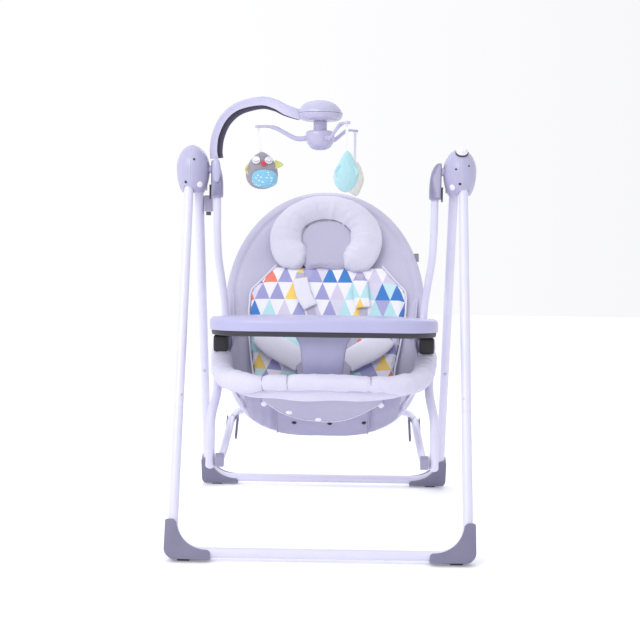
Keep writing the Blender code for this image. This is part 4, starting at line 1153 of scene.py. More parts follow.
def makeBird():
    tip, top, middle = toyFrame("bird", 0.055, 0.0455)
    half = (0.0258, 0.0150, 0.0475)
    middle.z -= 0.002

    def birdAt(x, y, z):
        wide = mix([0.80, 1.00, 1.12, 1.12, 1.05, 0.92, 0.75, 0.60, 0.50], (z + 1) / 2)
        lean = 0.0015 * math.sin(z * 2.2)
        side = math.sqrt(max(1 - z * z, 0))
        unit = side if side > 1e-4 else 1
        return middle + Vector((x / unit * half[0] * wide * side ** 0.7 + lean,
                                y / unit * half[1] * wide * side ** 0.7, z * half[2] * 0.97 + 0.0005))
    makeToyBody("bird", 44, birdAt, aquaPlush, 0.0018, (0.0008, 0.009, 5.3))
    for side, sign in sides.items():
        def wing(u, v):
            out = sign * (0.014 + 0.013 * (u + 1) / 2 * math.sin(math.pi * min(v * 1.15, 1)))
            return middle + Vector((out, -0.008 - 0.004 * (u + 1) / 2, 0.014 - 0.034 * v))
        piece = clothPanel("birdWing_" + side, wing, 8, 12, 0.0032, aquaPlush)
        place(subdivided(piece), "bird", slot="bird_plush")
    for count, (x, z, turn) in enumerate(((-0.002, -0.0395, -0.25), (0.006, -0.0385, 0.2))):
        def feather(u, v):
            wide = 0.0052 * math.sin(math.pi * (0.28 + 0.66 * v))
            return middle + Vector((x + u * wide + turn * v * 0.01, -0.002, z - 0.005 * v))
        tail = clothPanel("birdTail_" + str(count), feather, 6, 8, 0.0026, creamPlush)
        place(subdivided(tail), "bird", slot="bird_plush")
    makeRibbon("bird", tip, top, middle.z + half[2] - 0.004)


def makeCloud():
    tip, top, middle = toyFrame("cloud", 0.066, 0.0440)
    half = (0.0235, 0.013, 0.0435)

    def cloudAt(x, y, z):
        lobes = 1 + 0.05 * math.cos(5 * math.atan2(z, x))
        return middle + Vector((x * half[0] * lobes * 0.95, y * half[1], z * half[2] * lobes * 0.95))
    makeToyBody("cloud", 44, cloudAt, creamPlush, 0.0018, (0.0007, 0.008, 7.7))
    makeRibbon("cloud", tip, top, middle.z + half[2] - 0.004)


makeArch()
makeDome()
makeRotor()
makeOwl()
makeBird()
makeCloud()
print("mobile made")


# seat frame

ring = {"top": Vector((0, 0.28, 0.784)), "down": Vector((0, -0.5514, -0.8342)).normalized(),
        "front": Vector((0, -0.8342, 0.5514)).normalized(), "halfLength": 0.331, "halfWidth": 0.236,
        "powers": (2.1, 3.2), "radius": 0.010}
rim = {"radius": 0.0095,
       "half": [(0.2535, -0.0378, 0.4149), (0.2505, -0.0620, 0.4085), (0.2435, -0.1000, 0.3920),
                (0.2360, -0.1500, 0.3770), (0.2150, -0.2000, 0.3680), (0.1650, -0.2430, 0.3665),
                (0.0900, -0.2585, 0.3710), (0.0000, -0.2620, 0.3735)]}


def ringPoint(turn):
    angle = 2 * math.pi * turn
    down, over = -math.cos(angle), math.sin(angle)
    power = ring["powers"][0] if down < 0 else ring["powers"][1]
    stretch = (abs(down) ** power + abs(over) ** power) ** (-1 / power)
    return (ring["top"] + ring["down"] * ring["halfLength"] * (1 + down * stretch)
            + Vector((ring["halfWidth"] * over * stretch, 0, 0)))


def ringAt(x):
    # the ring at x on its lower half
    power = ring["powers"][1]
    share = (1 - (abs(x) / ring["halfWidth"]) ** power) ** (1 / power)
    return ring["top"] + ring["down"] * ring["halfLength"] * (1 + share) + Vector((x, 0, 0))


def rimPath(steps=4):
    return smoothPath(mirroredPath(rim["half"]), steps)


def makeSeatFrame():
    hoop = tubeMesh("seatRingTube", [ringPoint(i / 96) for i in range(96)], ring["radius"], tubePaint,
                    closed=True)
    place(hoop, "seat", "seat_ring", slot="frame_tube")
    for side, sign in sides.items():
        low = ringAt(0.186)
        stay = tubeMesh("seatStay_" + side,
                        [Vector((sign * 0.186, low.y, low.z)), Vector((sign * 0.203, -0.2035, 0.3478))],
                        0.0035, tubePaint, around=16)
        place(stay, "seat", slot="frame_tube")
    bar = tubeMesh("rimTube", rimPath(), rim["radius"], tubePaint)
    place(bar, "seat", "rim_tube", slot="frame_tube")
    for side, sign in sides.items():
        radius = dock["radius"]
        inner, outer = dock["outer"] + 0.0003, 0.2645
        wide = outer - inner
        cap = latheMesh("seatHubCap_" + side, [(0, 0), (radius - 0.002, 0), (radius, 0.002),
                                               (radius, wide - 0.005), (radius - 0.0015, wide - 0.002),
                                               (radius - 0.005, wide), (0, wide + 0.0004)], hubAbs,
                        (sign * inner, dock["y"], dock["z"]), (sign, 0, 0), 56)
        place(cap, "seat", slot="hub_plastic")
        route = [(0.2536, dock["y"], dock["z"]), (0.2536, -0.034, 0.3780), (0.2480, -0.075, 0.3520),
                 (0.2465, -0.115, 0.3220), (0.2545, -0.150, 0.2760), (0.2550, -0.166, 0.2300),
                 (0.2550, -0.171, 0.1660)]
        leg = tubeMesh("seatLegTube_" + side, smoothPath([(sign * x, y, z) for x, y, z in route], 6), 0.0105,
                       tubePaint)
        place(leg, "seat", "seat_leg_" + side, slot="frame_tube")
        end = ballMesh("seatLegEnd_" + side, (sign * 0.2550, -0.171, 0.1665), (0.0108, 0.0108, 0.0085),
                       tubePaint)
        place(end, "seat", slot="frame_tube")


makeSeatFrame()


def makeRunner():
    x, y, z = 0.2335, -0.17, 0.178
    half = [(x, y, z), (0.2310, -0.140, 0.1830), (0.2295, -0.100, 0.1920), (0.2250, -0.020, 0.2240),
            (0.2240, 0.050, 0.2360), (0.2110, 0.120, 0.2420), (0.1780, 0.157, 0.2420),
            (0.1100, 0.170, 0.2420), (0.0000, 0.174, 0.2420)]
    bow = tubeMesh("runnerBow", smoothPath(mirroredPath(half), 5), arm["radius"], tubePaint)
    place(bow, "runner", "runner_frame", slot="frame_tube")
    for side, sign in sides.items():
        disc = latheMesh("runnerPivotDisc_" + side, [(0, 0), (0.0148, 0), (0.0160, 0.0012), (0.0160, 0.0175),
                                                     (0.0148, 0.0187), (0, 0.0187)], elbowAbs,
                         (sign * 0.2240, y, z), (sign, 0, 0), 44)
        place(disc, "runner", slot="knee_plastic")
        boss = latheMesh("kickstandPivot_" + side, [(0, 0), (0.0086, 0), (0.0092, 0.0008), (0.0092, 0.0048),
                                                    (0.0086, 0.0055), (0, 0.0056)], footPp,
                         (sign * 0.2080, 0.05, 0.236), (sign, 0, 0), 32)
        place(boss, "kick_" + side, slot="foot_plastic")
        a, b = Vector((0, 0.05, 0.236)), Vector((0, -0.004, 0.1965))
        along, across = (b - a).normalized(), Vector((1, 0, 0)).cross((b - a).normalized())
        outline = []
        for k in range(19):
            turn = math.radians(90 + 10 * k)
            outline.append((0.0068 * math.cos(turn), 0.0068 * math.sin(turn)))
        reach = (b - a).length
        for k in range(19):
            turn = math.radians(270 + 10 * k)
            outline.append((reach - 0.0045 + 0.0052 * math.cos(turn), 0.0052 * math.sin(turn)))
        for kind, out, thick, soft, nodes in (("Blade_", 0.21075, 0.0052, 0.0012, ["kickstand_" + side]),
                                              ("Cheek_", 0.2358, 0.0030, 0.0010, [])):
            def plateAt(p, q, depth):
                return a + along * p + across * q + Vector((sign * out + depth, 0, 0))
            plate = plateMesh("kickstand" + kind + side, outline, plateAt, thick, footPp, soft, 3)
            place(plate, "kick_" + side, *nodes, slot="foot_plastic")
        screw = latheMesh("runnerScrew_" + side,
                          [(0, 0), (0.0028, 0), (0.0028, 0.0005), (0.0020, 0.0013), (0, 0.0015)],
                          zincSteel, (sign * 0.2230, 0.045, 0.2442), (0, -0.4, 0.9), 24)
        place(screw, "runner", slot="steel")


makeRunner()
print("seat frame made")


# tray

tray = {"top": 0.511, "skirt": 0.481, "under": 0.469,
        "half": [(0.2260, -0.062, -0.016), (0.2250, -0.085, -0.0125), (0.2110, -0.128, -0.008),
                 (0.1750, -0.166, -0.004), (0.1150, -0.187, -0.001), (0.0000, -0.195, 0)],
        "widths": [0.024, 0.026, 0.041, 0.049, 0.050, 0.049, 0.041, 0.026, 0.024], "endShare": 0.055}


def trayPath():
    return smoothPath(mirroredPath(tray["half"]), 8)


def trayHalf(share):
    # half the width, rounded off at both ends
    end = min(min(share, 1 - share) / tray["endShare"], 1)
    return 0.0162 + (mix(tray["widths"], share) - 0.0162) * math.sqrt(1 - (1 - end) ** 2)


def trayTopSection(share):
    half, top, wall = trayHalf(share), tray["top"], 0.003
    outer = [(-half, top - wall), (-half, top - 0.0012), (-half + 0.0008, top - 0.0003), (-half + 0.003, top),
             (half - 0.015, top)]
    for step in range(1, 9):
        angle = math.radians(90 - 90 * step / 9)
        outer.append((half - 0.014 + 0.014 * math.cos(angle), top - 0.013 + 0.013 * math.sin(angle)))
    outer += [(half, top - 0.014), (half, tray["skirt"] + 0.001), (half - 0.0008, tray["skirt"])]
    inner = [(half - wall, tray["skirt"]), (half - wall, top - 0.0135), (half - 0.0055, top - 0.0085),
             (half - 0.009, top - 0.0055), (half - 0.015, top - wall)]
    return outer + inner


def trayBaseSection(share):
    half, top, under = trayHalf(share) - 0.0004, tray["top"], tray["under"]
    return [(-half + 0.001, under), (half - 0.007, under), (half - 0.0045, under + 0.0012),
            (half - 0.0035, under + 0.004), (half - 0.0035, top - 0.0145), (half - 0.0085, top - 0.0075),
            (half - 0.0155, top - 0.0035), (-half + 0.001, top - 0.0035)]


def makeTray():
    lid = sweepMesh("trayTop", trayPath(), trayTopSection, (0, 0, 1), trayAbs)
    place(lid, "tray", "tray_top", slot="tray_plastic")
    tub = sweepMesh("trayUnder", trayPath(), trayBaseSection, (0, 0, 1), trayNylon)
    place(tub, "tray", "tray_base", slot="dark_plastic")

    def post(share):
        half = mix([0.064, 0.053, 0.050, 0.0475, 0.0455, 0.043, 0.041], share)
        thick = mix([0.013, 0.0115, 0.0105, 0.010, 0.009], share)
        return [(half * math.copysign(abs(math.cos(a)) ** 0.85, math.cos(a)),
                 math.copysign(abs(math.sin(a)) ** 0.6, math.sin(a)) * thick)
                for a in turns(48)]
    stem = sweepMesh("crotchPost", smoothPath([(0, -0.199, 0.4682), (0, -0.199, 0.430), (0, -0.198, 0.390),
                                               (0, -0.196, 0.354)], 8), post, (0, 1, 0), postAbs, 60)
    place(stem, "tray", "crotch_post", slot="tray_plastic")
    for side, sign in sides.items():
        inner, outer = sorted((sign * 0.2230, sign * 0.2560))
        latch = boxMesh("trayLatch_" + side, (inner, -0.100, 0.4190), (outer, -0.062, 0.4555), blackNylon,
                        0.0035, 4)
        place(latch, "latch_" + side, "tray_latch_" + side, slot="dark_plastic")
        strap = boxMesh("trayLatchArm_" + side, (inner + 0.004, -0.094, 0.4562),
                        (outer - 0.004, -0.068, 0.4700),
                        blackNylon, 0.002, 3)
        place(strap, "tray", slot="dark_plastic")


makeTray()
print("tray made")


# seat cover: fabric over the ring, side wings and the sling of the seat

seat = {"grow": 0.0125, "ringPocket": 0.0125, "centreRise": 0.0120, "centreBack": -0.0020, "coverEnd": 0.50,
        "bowl": [0, 0, 0, 0.02, 0.07, 0.09, 0.06, 0.03], "bowlHalf": 0.2}


def onRing(x, s, rise):
    return ring["top"] + ring["down"] * s + ring["front"] * rise + Vector((x, 0, 0))


def coverEdge(s):
    # half the width of the back cover, s along it, with the offset from its middle and the curve's power
    offset = (s - ring["halfLength"]) / (ring["halfLength"] + seat["grow"])
    power = ring["powers"][0] if offset < 0 else ring["powers"][1]
    half = ring["halfWidth"] + seat["grow"]
    return half * max(1 - abs(offset) ** power, 0) ** (1 / power), offset, power


def coverSpot(u, v):
    # a spot on the back cover: across, along, and the share q of the way to the edge
    s = -seat["grow"] + (seat["coverEnd"] + seat["grow"]) * v ** 1.8
    wide, offset, power = coverEdge(s)
    x = wide * math.sin(u * math.pi / 2)
    if offset < 0:
        q = (abs(x / (ring["halfWidth"] + seat["grow"])) ** power + abs(offset) ** power) ** (1 / power)
    else:
        q = abs(x / max(wide, 1e-6))
    return x, s, min(q, 1.0)


def coverFront(u, v):
    x, s, q = coverSpot(u, v)
    # a soft roll inside the ring, then the groove where the cover is stitched to it
    rise = seat["centreRise"] + 0.0030 * math.exp(-((q - 0.80) / 0.10) ** 2)
    rise -= 0.0030 * math.exp(-((q - 0.905) / 0.025) ** 2)
    if q > 0.92:
        rise = seat["ringPocket"] * math.sqrt(max(1 - ((q - 0.92) / 0.08) ** 2, 0))
    pucker = ripple((x * 0.7, s, 0.3), 0.055, 2.0) * 0.0011 * smoothStep(1.0, 0.90, q)
    return onRing(x, s, rise + pucker)


def coverBack(u, v):
    x, s, q = coverSpot(u, v)
    rise = seat["centreBack"] - 0.0095 * smoothStep(0.80, 0.93, q)
    if q > 0.93:
        rise = -seat["ringPocket"] * math.sqrt(max(1 - ((q - 0.93) / 0.07) ** 2, 0))
    return onRing(x, s, rise)


def makeBackCover():
    cover = shellMesh("seatBackCover", coverFront, coverBack, 72, 64, seatCloth)
    subdivided(cover)
    place(cover, "seat", "seat_pad", slot="seat_fabric")


def profilePath():
    back = [onRing(0, s, 0.006) for s in (0.024, 0.15, 0.30, 0.42)]
    pan = [Vector((0, y, z)) for y, z in ((-0.004, 0.354), (-0.045, 0.298), (-0.095, 0.276),
                                          (-0.150, 0.289), (-0.198, 0.322), (-0.230, 0.352))]
    return smoothPath(back + pan, 6)


seatProfile = profilePath()


def onSeat(x, share, lift):
    point, low = alongPath(seatProfile, share)
    along = (seatProfile[min(low + 2, len(seatProfile) - 1)] - seatProfile[max(low - 1, 0)]).normalized()
    normal = along.cross(Vector((1, 0, 0)))
    depth = mix(seat["bowl"], share)
    slope = 2 * depth * x / seat["bowlHalf"] ** 2
    return (point + normal * (lift * math.hypot(1, slope) + depth * (x / seat["bowlHalf"]) ** 2)
            + Vector((x, 0, 0)))


wingEdge = smoothPath([(0.230, 0.136, 0.567), (0.227, 0.085, 0.524), (0.2195, 0.035, 0.478),
                       (0.2150, -0.010, 0.449), (0.2160, -0.050, 0.430), (0.2200, -0.085, 0.414),
                       (0.2190, -0.120, 0.401), (0.2130, -0.155, 0.391), (0.1950, -0.193, 0.383),
                       (0.1550, -0.228, 0.3795), (0.0900, -0.2455, 0.3835), (0.0400, -0.2490, 0.3855)], 6)
wingCentre = [onSeat(0, share, 0.007) for share in (0.262, 0.30, 0.333, 0.38, 0.43, 0.48, 0.54, 0.60, 0.67,
                                                    0.74, 0.81, 0.88, 0.94, 0.985)]
wingCentre = smoothPath(wingCentre + [(0, -0.2390, 0.3620), (0, -0.2470, 0.3790)], 4)


def slingPoint(u, v):
    middle, edge = alongPath(wingCentre, v)[0], alongPath(wingEdge, v)[0]
    t = abs(u)
    steep = mix([1.6, 2.0, 2.6, 3.0, 3.0, 2.8, 2.4, 1.8], v)
    sign = -1 if u < 0 else 1
    point = middle.lerp(Vector((0, edge.y, edge.z)), t ** steep)
    point.x = sign * edge.x * math.sin(t * math.pi / 2) ** 0.92
    fold = ripple((point.x * 1.5 + sign * 4, point.y * 0.8, point.z * 2.4), 0.05, 8.0)
    return point + Vector((-sign * 0.0030, 0, 0.0012)) * fold * smoothStep(0.55, 0.85, t)


def makeSling():
    sling = clothPanel("seatSling", slingPoint, 64, 60, 0.0046, seatCloth)
    subdivided(sling)
    place(sling, "seat", slot="seat_fabric")
    # rolled, stitched hem where the wings leave the backrest
    for side, sign in sides.items():
        path = [slingPoint(sign * (1 - 0.55 * k / 24), 0.0) + ring["front"] * 0.0022 for k in range(25)]
        hem = tubeMesh("wingHem_" + side, path, 0.0022, seatCloth, around=12)
        place(hem, "seat", slot="seat_fabric")


def makeRimCover():
    # a fleece-filled sleeve gathered on the front bar: fat between its stitched bands and at the sides
    bands = (-0.131, -0.074, 0.105)
    covered = [p for p in rimPath(12) if p.y < -0.046]
    total = len(covered) - 1

    def swell(share, angle):
        place = covered[min(int(share * total + 0.5), total)]
        size = 0.0178 + 0.0030 * ripple((place.x * 1.0, math.cos(angle) * 0.03, math.sin(angle) * 0.03),
                                        0.045, 1.0)
        size += 0.0018 * ripple((place.x * 2.5, place.y * 2, math.cos(angle) * 0.02), 0.02, 6.0)
        size += 0.0062 * smoothStep(0.12, 0.2, abs(place.x))
        # gathers: folds round the sleeve that deepen towards its rear ends
        run = math.copysign(place.y, place.x) * 260 + place.x * 60
        depth = 0.0013 * smoothStep(0.14, 0.23, abs(place.x))
        size += depth * math.sin(run + 1.4 * math.sin(angle * 2 + run * 0.15))
        for band in bands:
            size -= 0.0030 * math.exp(-((place.x - band) / 0.0035) ** 2)
        ends = min(share, 1 - share) * 12
        return size * (0.78 + 0.22 * min(ends, 1))
    inwards = [p - Vector((math.copysign(0.0075 * smoothStep(0.15, 0.23, abs(p.x)), p.x), 0, 0))
               for p in covered]
    sleeve = tubeMesh("rimSleeve", inwards, swell, rimCloth, around=40)
    subdivided(sleeve)
    place(sleeve, "seat", "rim_cover", slot="pale_fabric")
    for count, band in enumerate(bands):
        spot = min(range(total), key=lambda k: abs(covered[k].x - band) + (covered[k].y > -0.2) * 9)
        here, along = covered[spot], (covered[spot + 1] - covered[spot - 1]).normalized()
        beside = along.cross(Vector((0, 0, 1))).normalized()
        up = beside.cross(along)
        loop = [here + (beside * math.cos(a) + up * math.sin(a)) * 0.0166
                for a in turns(48)]
        thread = tubeMesh("rimStitch_" + str(count), loop, 0.0007, greyFelt, closed=True, around=8)
        place(thread, "seat", slot="pale_fabric")


def makeRimFlap():
    # the hem of the sleeve hangs below the bar, longest in the middle
    def at(u, v):
        x = 0.198 * u
        bar = min(rimPath(6), key=lambda p: abs(p.x - x) + (p.y > -0.15) * 9)
        drop = 0.0285 - 0.020 * abs(u) ** 2.2
        wave = 0.0030 * math.sin(u * 11 + 0.6) * v + 0.0022 * ripple((x * 2, v, 0), 0.07, 3)
        y = bar.y + 0.0045 + wave * 0.8 + 0.006 * v
        return Vector((x, y - 0.004 * math.sin(math.pi * v),
                       bar.z - 0.0150 - drop * v + 0.0012 * math.sin(u * 9) * v))
    flap = clothPanel("rimFlap", at, 72, 14, 0.0016, rimCloth)
    subdivided(flap)
    place(flap, "seat", slot="pale_fabric")


def makePillow():
    # a horseshoe roll round a lower velour pad
    arc = {"centre": 0.1535, "wide": 0.104, "tall": 0.094, "roll": 0.0405, "reach": (-143, 149),
           "lift": 0.0345}
    path = []
    for k in range(49):
        angle = math.radians(mix(arc["reach"], k / 48))
        path.append((arc["wide"] * math.sin(angle), arc["centre"] - arc["tall"] * math.cos(angle)))
    shape = bmesh.new()
    rings = []
    for k, (x, s) in enumerate(path):
        before, after = path[max(k - 1, 0)], path[min(k + 1, len(path) - 1)]
        dx, ds = after[0] - before[0], after[1] - before[1]
        size = math.hypot(dx, ds)
        nx, ns = -ds / size, dx / size
        end = min(k, len(path) - 1 - k) / (len(path) - 1)
        taper = math.sqrt(max(1 - (1 - min(end / 0.09, 1)) ** 2, 0.02))
        ringVerts = []
        for n in range(28):
            a = 2 * math.pi * n / 28
            reach = arc["roll"] * taper * math.cos(a)
            high = 0.0165 * (0.55 + 0.45 * taper) * math.sin(a)
            pleat = 0.0011 * math.sin(k * 2.35 + 0.8 * math.sin(k)) * max(math.cos(a), 0)
            ringVerts.append(shape.verts.new(onRing(x + nx * reach, s + ns * reach,
                                                    arc["lift"] + high + pleat)))
        rings.append(ringVerts)
    for ringVerts, following in zip(rings, rings[1:]):
        for n in range(28):
            m = (n + 1) % 28
            shape.faces.new((ringVerts[n], ringVerts[m], following[m], following[n]))
    shape.faces.new(rings[0])
    shape.faces.new(rings[-1])
    roll = finishMesh("headPillowRoll", shape, pillowCloth, 180)
    stuffed(roll, 0.005, 4.0, 0.0055, 20, 0)

    def crease(p, n):
        # stuffing wrinkles that run out from the inner seam
        flat = p - ring["top"]
        x, s = p.x, flat.dot(ring["down"]) - arc["centre"]
        radius = math.hypot(x / 1.15, s)
        angle = math.atan2(x, -s)
        near = smoothStep(0.130, 0.062, radius)
        wave = noise.noise(Vector((angle * 5.5, radius * 7, 1.5)))
        wave += 0.5 * noise.noise(Vector((angle * 12, radius * 10, 4)))
        return n * (0.0034 * wave * (0.25 + 0.75 * near))
    moved(roll, crease)
    subdivided(roll)
    place(roll, "seat", "head_pillow", slot="pale_fabric")
    pad = shellMesh("headPillowPad",
                    lambda u, v: padPoint(u, v, 1), lambda u, v: padPoint(u, v, -1), 30, 30, pillowMinky)
    stuffed(pad, 0.005, 4.0, 0.004, 16, 1)
    place(pad, "seat", slot="pale_fabric")
    # corded seam where roll and pad meet
    inside = arc["roll"] - 0.0035
    seam = []
    for k in range(4, 45):
        angle = math.radians(mix(arc["reach"], k / 48))
        out = Vector((math.sin(angle) / arc["wide"], -math.cos(angle) / arc["tall"])).normalized()
        seam.append(onRing((arc["wide"] * math.sin(angle)) - out.x * inside,
                           arc["centre"] - arc["tall"] * math.cos(angle) - out.y * inside, 0.0400))
    cord = tubeMesh("headPillowSeam", smoothPath(seam, 2), 0.0013, greyFelt, around=10)
    place(cord, "seat", slot="pale_fabric")


def padPoint(u, v, face):
    # a rounded pad inside the horseshoe, flat at the foot
    w = 2 * v - 1
    wide = 0.073 * (1 - abs(w) ** 2.6) ** (1 / 2.6) if w < 0 else 0.073 * (1 - 0.22 * w ** 2)
    x = 0.006 + u * wide
    s = 0.163 + 0.075 * w + 0.003 * math.sin(u * 5) * smoothStep(0.8, 1, v)
    edge = (1 - abs(u) ** 3) * (1 - abs(w) ** 4)
    return onRing(x, s, 0.0295 + face * (0.002 + 0.0060 * max(edge, 0) ** 0.5))


insert = {"widths": [0.133, 0.193, 0.192, 0.186, 0.178, 0.170, 0.165, 0.160, 0.158, 0.155, 0.150, 0.145,
                     0.135, 0.122, 0.110],
          "start": 0.166, "end": 0.93, "lift": 0.0187, "aside": 0.009, "printAt": (0.0065, 1.038)}


def insertPoint(u, v, face):
    share = insert["start"] + (insert["end"] - insert["start"]) * v
    wide = mix(insert["widths"], v)
    x = math.copysign(abs(u) ** 0.92, u) * wide
    edge = (1 - abs(u) ** 6) * (1 - abs(2 * v - 1) ** 14)
    quilt = 0.0014 * abs(math.sin(x * 26))
    return onSeat(x + insert["aside"] * smoothStep(0.35, 0.0, v), share,
                  insert["lift"] + face * (0.0012 + (0.0038 + quilt * (face > 0)) * max(edge, 0) ** 0.5))


def bowlPoint(index, x):
    # the insert's middle line pushed out by the bowl at x
    depth = mix(seat["bowl"], index / (len(seatProfile) - 1))
    lift = insert["lift"] + depth * (x / seat["bowlHalf"]) ** 2
    return seatProfile[index] + heading(seatProfile, index).cross(Vector((1, 0, 0))) * lift


def clothUv(piece):
    # the print runs across by x and down by the length along the seat's profile
    lengths = [0.0]
    for a, b in zip(seatProfile, seatProfile[1:]):
        lengths.append(lengths[-1] + (b - a).length)
    mesh = piece.data
    layer = mesh.uv_layers.get("UVMap") or mesh.uv_layers.new(name="UVMap")
    runs = []
    for vert in mesh.vertices:
        x, point = vert.co.x, Vector((0, vert.co.y, vert.co.z))
        near = min(range(len(seatProfile) - 1), key=lambda k: (bowlPoint(k, x) - point).length)
        a, b = bowlPoint(near, x), bowlPoint(near + 1, x)
        share = (point - a).dot(b - a) / max((b - a).length_squared, 1e-9)
        runs.append(lengths[near] + share * (lengths[near + 1] - lengths[near]))
    right, down = insert["printAt"]
    for loop in mesh.loops:
        x = mesh.vertices[loop.vertex_index].co.x
        layer.data[loop.index].uv = (x + right, down - runs[loop.vertex_index])


def makeInsert():
    pad = shellMesh("seatInsert", lambda u, v: insertPoint(u, v, 1), lambda u, v: insertPoint(u, v, -1),
                    52, 76, printCloth)
    stuffed(pad, 0.0055, 4.0, 0.0040, 18, 0)
    moved(pad, lambda p, n: n * 0.0012 * ripple(p, 0.035, 9.0))
    subdivided(pad)
    applied(pad)
    clothUv(pad)
    place(pad, "seat", "insert_pad", slot="insert_fabric")
    # overlocked edge
    path = []
    steps = 60
    for k in range(steps + 1):
        path.append(insertPoint(-1, k / steps, 0))
    for k in range(1, 20):
        path.append(insertPoint(-1 + 2 * k / 20, 1, 0))
    for k in range(steps + 1):
        path.append(insertPoint(1, 1 - k / steps, 0))
    edge = tubeMesh("seatInsertBinding", path, 0.0024, whiteCloth, around=10)
    place(edge, "seat", slot="insert_fabric")


def strapPanel(name, points, width, thickness, material, facing, fill=None, flare=0.0, steps=6):
    # a flat strap along points; facing gives the way its face looks
    path = smoothPath(points, steps)
    face = Vector(facing).normalized()

    def at(u, v):
        point, low = alongPath(path, v)
        beside = heading(path, low).cross(face).normalized()
        return point + beside * u * (width / 2) * (1 + flare * math.sin(math.pi * v))

    def size(u, v):
        if fill is None:
            return thickness
        return thickness * (0.35 + 0.65 * max((1 - abs(u) ** 4) * (1 - abs(2 * v - 1) ** 8), 0) ** 0.5)
    return clothPanel(name, at, 12, 40, thickness, material, size)


def seatSpots(rows, lift):
    return [onSeat(x, share, insert["lift"] + lift) for x, share in rows]


def makeHarness():
    look = ring["front"]
    for side, sign in sides.items():
        # shoulder straps come out of slits in the insert and pass through soft pads
        outer = 0.086 if side == "right" else 0.062
        inner = 0.094 if side == "right" else 0.034
        webRows = [(sign * outer, 0.186), (sign * outer, 0.205), (sign * (outer + inner) / 2, 0.24),
                   (sign * inner, 0.275), (sign * (inner - 0.006), 0.32), (sign * 0.045, 0.40),
                   (sign * 0.034, 0.52), (sign * 0.022, 0.62)]
        web = strapPanel("shoulderWeb_" + side, seatSpots(webRows, 0.0115), 0.020, 0.0016, webbing, look)
        place(web, "seat", slot="pale_fabric")
        padRows = [(sign * outer, 0.200), (sign * (outer * 0.8 + inner * 0.2), 0.222),
                   (sign * (outer + inner) / 2, 0.245), (sign * inner, 0.268)]
        spots = seatSpots(padRows, 0.0165)
        pad = strapPanel("shoulderPad_" + side, spots, 0.036, 0.0095,
                         printCloth if side == "right" else whiteCloth, look, fill=0.6, flare=0.08)
        if side == "right":
            applied(pad)
            clothUv(pad)
        subdivided(pad)
        place(pad, "seat", slot="insert_fabric")
        # waist pads fold over the thighs towards the crotch strap
        waistRows = [(sign * 0.150, 0.345), (sign * 0.134, 0.362), (sign * 0.108, 0.382),
                     (sign * 0.078, 0.402), (sign * 0.052, 0.425)]
        waist = strapPanel("waistPad_" + side, seatSpots(waistRows, 0.0170), 0.056, 0.0110, whiteCloth,
                           (0, -0.75, 0.66), fill=0.5, flare=0.18)
        subdivided(waist)
        place(waist, "seat", slot="pale_fabric")
        adjust = [(sign * 0.060, 0.420), (sign * 0.046, 0.50), (sign * 0.036, 0.60), (sign * 0.028, 0.694)]
        strap = strapPanel("waistWeb_" + side, seatSpots(adjust, 0.0205), 0.020, 0.0016, webbing,
                           (0, -0.35, 1))
        place(strap, "seat", slot="pale_fabric")
    low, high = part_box("buckle")
    shell = boxMesh("harnessBuckle", low, high, blackNylon, 0.0045, 4)
    place(shell, "seat", "buckle", slot="dark_plastic")
    crotch = strapPanel("crotchWeb", seatSpots([(0, 0.70), (0, 0.735), (0, 0.77), (0, 0.80)], 0.0085),
                        0.026, 0.0018, webbing, (0, -0.3, 1))
    place(crotch, "seat", slot="pale_fabric")
    # plain care label on the wing, and the folded side tag
    rows = [(0.098, 0.300), (0.100, 0.322), (0.102, 0.345)]
    label = strapPanel("careLabel", [onSeat(x, share, insert["lift"] + 0.0105) for x, share in rows], 0.044,
                       0.0006, whiteCloth, (0, -1, 0.5))
    place(label, "seat", slot="insert_fabric")
    s = 0.185
    edge = coverEdge(s)[0]
    tag = [onRing(edge - 0.004, s, 0.0045), onRing(edge + 0.003, s, 0.0052), onRing(edge + 0.0075, s, 0.0048)]
    sideTag = strapPanel("sideTag", tag, 0.024, 0.0012, greyFelt, tuple(ring["front"]))
    place(sideTag, "seat", slot="seat_fabric")


# apron under the seat front

def apronPoint(u, v, depth=0.0):
    x = 0.176 * u
    low = ringAt(x) + Vector((0, -0.0135, -0.0055))
    high = Vector((x, -0.2450 + 1.0 * x * x, 0.3475 - 0.2 * x * x))
    sag = math.sin(math.pi * v) * 0.004
    return high.lerp(low, v) + Vector((0, -0.6, -0.8)) * (sag + depth)


